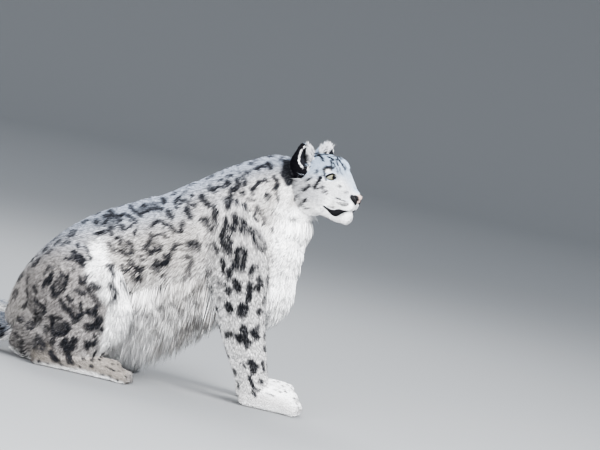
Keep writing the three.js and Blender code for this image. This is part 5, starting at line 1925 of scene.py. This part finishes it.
@dataclass(frozen=True)
class Studio:
    """The floor and backdrop, the lights and the camera."""

    picture: Picture
    shift: Array
    lens: float = 200.0
    sensor: float = 36.0
    floor_colour: tuple[float, float, float] = (0.15, 0.155, 0.16)
    SPOTS: ClassVar[tuple] = (
        ("key", (2.4, -2.2, 3.0), 2.4, 620.0), ("fill", (-0.9, -3.3, 0.3), 2.4, 440.0),
        ("rim", (-0.4, 2.4, 2.8), 2.0, 160.0))
    MIDDLE: ClassVar[tuple] = (0.0, 0.0, 0.35)
    SKY: ClassVar[tuple] = (0.88, 0.93, 1.0, 1.0)
    SKY_POWER: ClassVar[float] = 1.45
    LOOK: ClassVar[str] = "AgX - Medium High Contrast"

    def camera(self) -> None:
        """A long lens level with the flank, turned about the view as the picture is."""
        p = self.picture
        centre = p.place(np.array(p.width / 2), np.array(p.height / 2), False)
        rise, roll = math.radians(p.rise), math.radians(p.roll)
        target = (np.array([float(centre[0]), 0.0, float(centre[1])]) + self.shift) * MM
        away = p.width * p.pixel * MM * self.lens / self.sensor + 0.06
        ahead = np.array([0.0, math.cos(rise), -math.sin(rise)])
        level, upright = np.array([1.0, 0.0, 0.0]), np.array([0.0, math.sin(rise), math.cos(rise)])
        right = level * math.cos(roll) + upright * math.sin(roll)
        up = upright * math.cos(roll) - level * math.sin(roll)
        data = bpy.data.cameras.new("camera")
        data.lens, data.sensor_width = self.lens, self.sensor
        data.clip_end = 60.0
        made = bpy.data.objects.new("camera", data)
        place = np.eye(4)
        place[:3, 0], place[:3, 1], place[:3, 2], place[:3, 3] = right, up, -ahead, target - ahead * away
        made.matrix_world = Matrix(place)
        bpy.context.scene.collection.objects.link(made)
        bpy.context.scene.camera = made

    def floor(self) -> None:
        """A floor that curves up into a backdrop on every side.

        Its height is zero inside a wide circle, then a quarter circle, then straight up.
        """
        radius, bend, wall = 10.0, 3.0, 2.0
        a = np.linspace(0, math.pi / 2, 16)
        out = np.concatenate([[0.01, 1.0, 4.0], radius + bend * np.sin(a), [radius + bend]])
        high = np.concatenate([[0, 0, 0], bend * (1 - np.cos(a)), [bend + wall]])
        around = 2 * np.pi * np.arange(96) / 96
        grid = np.stack([out[:, None] * np.cos(around), out[:, None] * np.sin(around),
                         np.repeat(high[:, None], 96, 1)], -1)
        i = np.arange(len(out) - 1)[:, None] * 96
        k, n = np.arange(96)[None], (np.arange(96)[None] + 1) % 96
        quads = np.stack([i + k, i + 96 + k, i + 96 + n, i + n], -1).reshape(-1, 4)
        mesh = bpy.data.meshes.new("studio_floor")
        mesh.from_pydata((grid.reshape(-1, 3)).tolist(), [], quads.tolist() + [list(range(96))])
        mesh.shade_smooth()
        made = bpy.data.objects.new("studio_floor", mesh)
        bpy.context.scene.collection.objects.link(made)
        finish = bpy.data.materials.new("studio floor")
        finish.use_nodes = True
        shader = finish.node_tree.nodes["Principled BSDF"]
        shader.inputs["Base Color"].default_value = (*self.floor_colour, 1.0)
        shader.inputs["Roughness"].default_value = 0.9
        mesh.materials.append(finish)

    def lights(self) -> None:
        """A large soft key from the front right, a low fill, a rim from behind, and a pale sky."""
        for name, place, size, power in self.SPOTS:
            data = bpy.data.lights.new(name, "AREA")
            data.energy, data.size = power, size
            made = bpy.data.objects.new(name, data)
            toward = (Vector(self.MIDDLE) - Vector(place)).to_track_quat("-Z", "Y")
            made.matrix_world = Matrix.Translation(place) @ toward.to_matrix().to_4x4()
            bpy.context.scene.collection.objects.link(made)
        world = bpy.data.worlds.new("sky")
        world.use_nodes = True
        sky = world.node_tree.nodes["Background"]
        sky.inputs["Color"].default_value = self.SKY
        sky.inputs["Strength"].default_value = self.SKY_POWER
        bpy.context.scene.view_settings.look = self.LOOK
        bpy.context.scene.world = world


@dataclass(frozen=True)
class Patch:
    """One coat piece: its name, the forms it grows on, how many tufts, their style and material slot."""

    name: str
    parts: tuple[str, ...]
    count: int
    style: TuftStyle
    slot: str


LONG = TuftStyle(2, 0.4, 17.0, 0.05)
SHORT = TuftStyle(1, 0.3, 9.0, 0.0)
PATCHES = (
    Patch("coat_trunk_right", ("trunk",), 15600, LONG, "coat"),
    Patch("coat_trunk_left", ("trunk",), 9500, LONG, "coat"),
    Patch("coat_neck", ("neck",), 11700, LONG, "coat"),
    Patch("coat_chest", ("throat",), 7000, LONG, "long_fur"),
    Patch("coat_thigh_right", ("thigh_right", "seat_right"), 11500, LONG, "coat"),
    Patch("coat_thigh_left", ("thigh_left", "seat_left"), 7300, LONG, "coat"),
    Patch("coat_foreleg_right", ("foreleg_right", "forepaw_right"), 20000, SHORT, "coat"),
    Patch("coat_foreleg_left", ("foreleg_left", "forepaw_left"), 10500, SHORT, "coat"),
    Patch("coat_hind_leg_right", ("shank_right", "hind_foot_right"), 10000, SHORT, "coat"),
    Patch("coat_hind_leg_left", ("shank_left", "hind_foot_left"), 6000, SHORT, "coat"),
    Patch("coat_tail", ("tail",), 6000, LONG, "coat"),
    Patch("coat_head", ("skull", "forehead", "brow"), 24000, SHORT, "coat"),
    Patch("coat_muzzle", ("bridge", "jaw", "whisker", "upper_lip"), 13000, SHORT, "white_fur"),
    Patch("coat_ears", ("ear",), 6000, SHORT, "ear"),
)


class Leopard:
    """The whole animal: skin, coat and face, dressed and tied to the frame."""

    FRINGE = np.array([[150.0], [172.0], [170.0], [130.0], [80.0]])

    def __init__(self, frame: dict, bench: Bench) -> None:
        """Keeps the frame and the bench.

        Args:
            frame: the frame that was loaded.
            bench: where meshes are made.
        """
        self.frame = frame
        self.bench = bench
        self.picture = Picture()
        self.mottle = mottle_group()

    def dress(self, piece: bpy.types.Object, material: bpy.types.Material) -> bpy.types.Object:
        """Gives a piece its material, its slot and its body, and reports it.

        Args:
            piece: the object.
            material: its material.

        Returns:
            The same piece.
        """
        piece.data.materials.append(material)
        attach(piece, "root")
        LOG.info("made %s", piece.name)
        return piece

    def build(self) -> None:
        """Builds every piece in order."""
        skin = Skin(self.bench)
        marks = Markings(skin, self.picture)
        coat = Coat(self.bench, skin, marks)
        fur = FurFinish("fur").material(self.mottle)
        hide = FurFinish("hide", roughness=0.8, bump=0.4).material(self.mottle)
        body = self.bench.piece("skin", skin.points, skin.triangles)
        paint(body.data, coat.skin_colours())
        self.dress(body, hide)
        flesh = [n for n in self.frame["nodes"] if n != "nose" and not n.startswith("eye")]
        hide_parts(*flesh)
        for patch in PATCHES:
            roots = self.patch_roots(coat, patch)
            self.dress(coat.tuft_mesh(patch.name, roots, patch.style), fur)
        self.long_coat(coat, fur)
        self.face()

    def patch_roots(self, coat: Coat, patch: Patch) -> Roots:
        """The roots of one coat piece.

        Args:
            coat: the coat.
            patch: which part of it.

        Returns:
            The roots.
        """
        count = patch.count
        weight = None
        if "_right" in patch.name and patch.parts == ("trunk",):
            weight = (coat.skin.points[:, 1] < 0).astype(float)
        elif "_left" in patch.name and patch.parts == ("trunk",):
            weight = (coat.skin.points[:, 1] >= 0).astype(float)
        roots = coat.outside(coat.scatter(patch.parts, count, weight))
        if patch.parts == ("trunk",):
            coat.hang(roots, 34.0)
        if "hind_leg" in patch.name or "thigh" in patch.name:
            coat.knee(roots)
        return roots

    def long_coat(self, coat: Coat, fur: bpy.types.Material) -> None:
        """The hanging fringe of the belly and the ruff of the breast and throat, as long locks of hair.

        Args:
            coat: the coat.
            fur: its material.
        """
        skin, share = coat.skin, 1
        style = TuftStyle(3, 0.72, 24.0, 0.0)
        names = [f.name for f in skin.forms]
        t = skin.t
        trunk = skin.lead == names.index("trunk")
        belly = trunk & (np.abs(skin.angle + 90) < 66) & (t > 0.36) & (t < 0.86)
        roots = coat.outside(coat.scatter(("trunk",), 8000 // share, belly.astype(float)))
        along = np.clip((roots.t - 0.36) / 0.5, 0, 1)
        off = np.clip(np.abs(roots.angle + 90) / 66, 0, 1)
        roots.length = smooth_line(self.FRINGE, along)[:, 0] * (1 - 0.5 * off ** 1.5)
        down = np.array([0.06, 0.0, -1.0])
        roots.lay = unit(down + roots.lay * 0.12)
        roots.lift = np.full(len(roots.t), 0.03)
        roots.width = np.full(len(roots.t), 3.4)
        lock = np.random.default_rng(23).random(len(roots.t))[coat.clumps(roots.points, 26.0)]
        fore = smoothstep(roots.points[:, 0], -370, -280)
        grey = np.maximum(smoothstep(lock, 0.3, 0.7) * (0.15 + 0.7 * fore), (0.35 + 0.55 * fore) * off ** 2)
        roots.tone = T.WHITE.value + (np.array(T.FLANK.value) - T.WHITE.value) * grey[:, None]
        roots.tone = roots.tone * (1 - 0.5 * fore * (lock > 0.72) * smoothstep(off, 0.2, 0.6))[:, None]
        self.dress(coat.tuft_mesh("fringe_belly", roots, style), fur)
        chest = (skin.lead == names.index("throat")) & (np.abs(skin.angle - 90) < 85) & (t > 0.05)
        roots = coat.outside(coat.scatter(("throat",), 4800 // share, chest.astype(float)))
        roots.length = 56 + 26 * roots.t
        roots.lay = unit(roots.lay + down * 0.8)
        roots.lift = np.full(len(roots.t), 0.16)
        roots.width = np.full(len(roots.t), 3.2)
        self.dress(coat.tuft_mesh("ruff_breast", roots, style), fur)

    def face(self) -> None:
        """Eyes, lid edges, nose, lips and whiskers."""
        face = Face(self.bench)
        glass = WetFinish("eye surface", 0.3, 0.04, shine=0.03).material()
        leather = WetFinish("nose leather", 0.5, 0.03, 0.35, shine=0.08).material()
        dark = WetFinish("dark skin", 0.6, 0.0, 0.2, shine=0.03).material()
        for side in Side:
            tag = side.name.lower()
            ball = self.dress(face.eye(side), glass)
            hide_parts(f"eye_{tag}")
            self.dress(face.lid_edge(side), dark)
        nose = self.dress(face.nose(), leather)
        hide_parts("nose")
        self.dress(face.lips(), dark)
        hair = FurFinish("whisker", roughness=0.4, bump=0.0).material(self.mottle)
        self.dress(face.whiskers(), hair)


def design_shift() -> Array:
    """The shift from the design frame to the frame of the solids, from where the right eye is in both.

    Returns:
        The shift in millimetres.
    """
    low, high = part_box("eye_right")
    middle = (np.array(low) + np.array(high)) / 2 / MM
    return middle - eye_place(Side.RIGHT.value)[:3, 3]


def corners(bounds: tuple) -> list[list[float]]:
    """A box's two corners as plain lists of numbers."""
    return [[float(v) for v in corner] for corner in bounds]


def main() -> None:
    """Builds the animal and the studio."""
    logging.basicConfig(level=logging.INFO, format="%(message)s")
    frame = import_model()
    shift = design_shift()
    bench = Bench(shift)
    Leopard(frame, bench).build()
    studio = Studio(Picture(), shift)
    studio.camera()
    studio.floor()
    studio.lights()


if __name__ == "__main__":
    main()
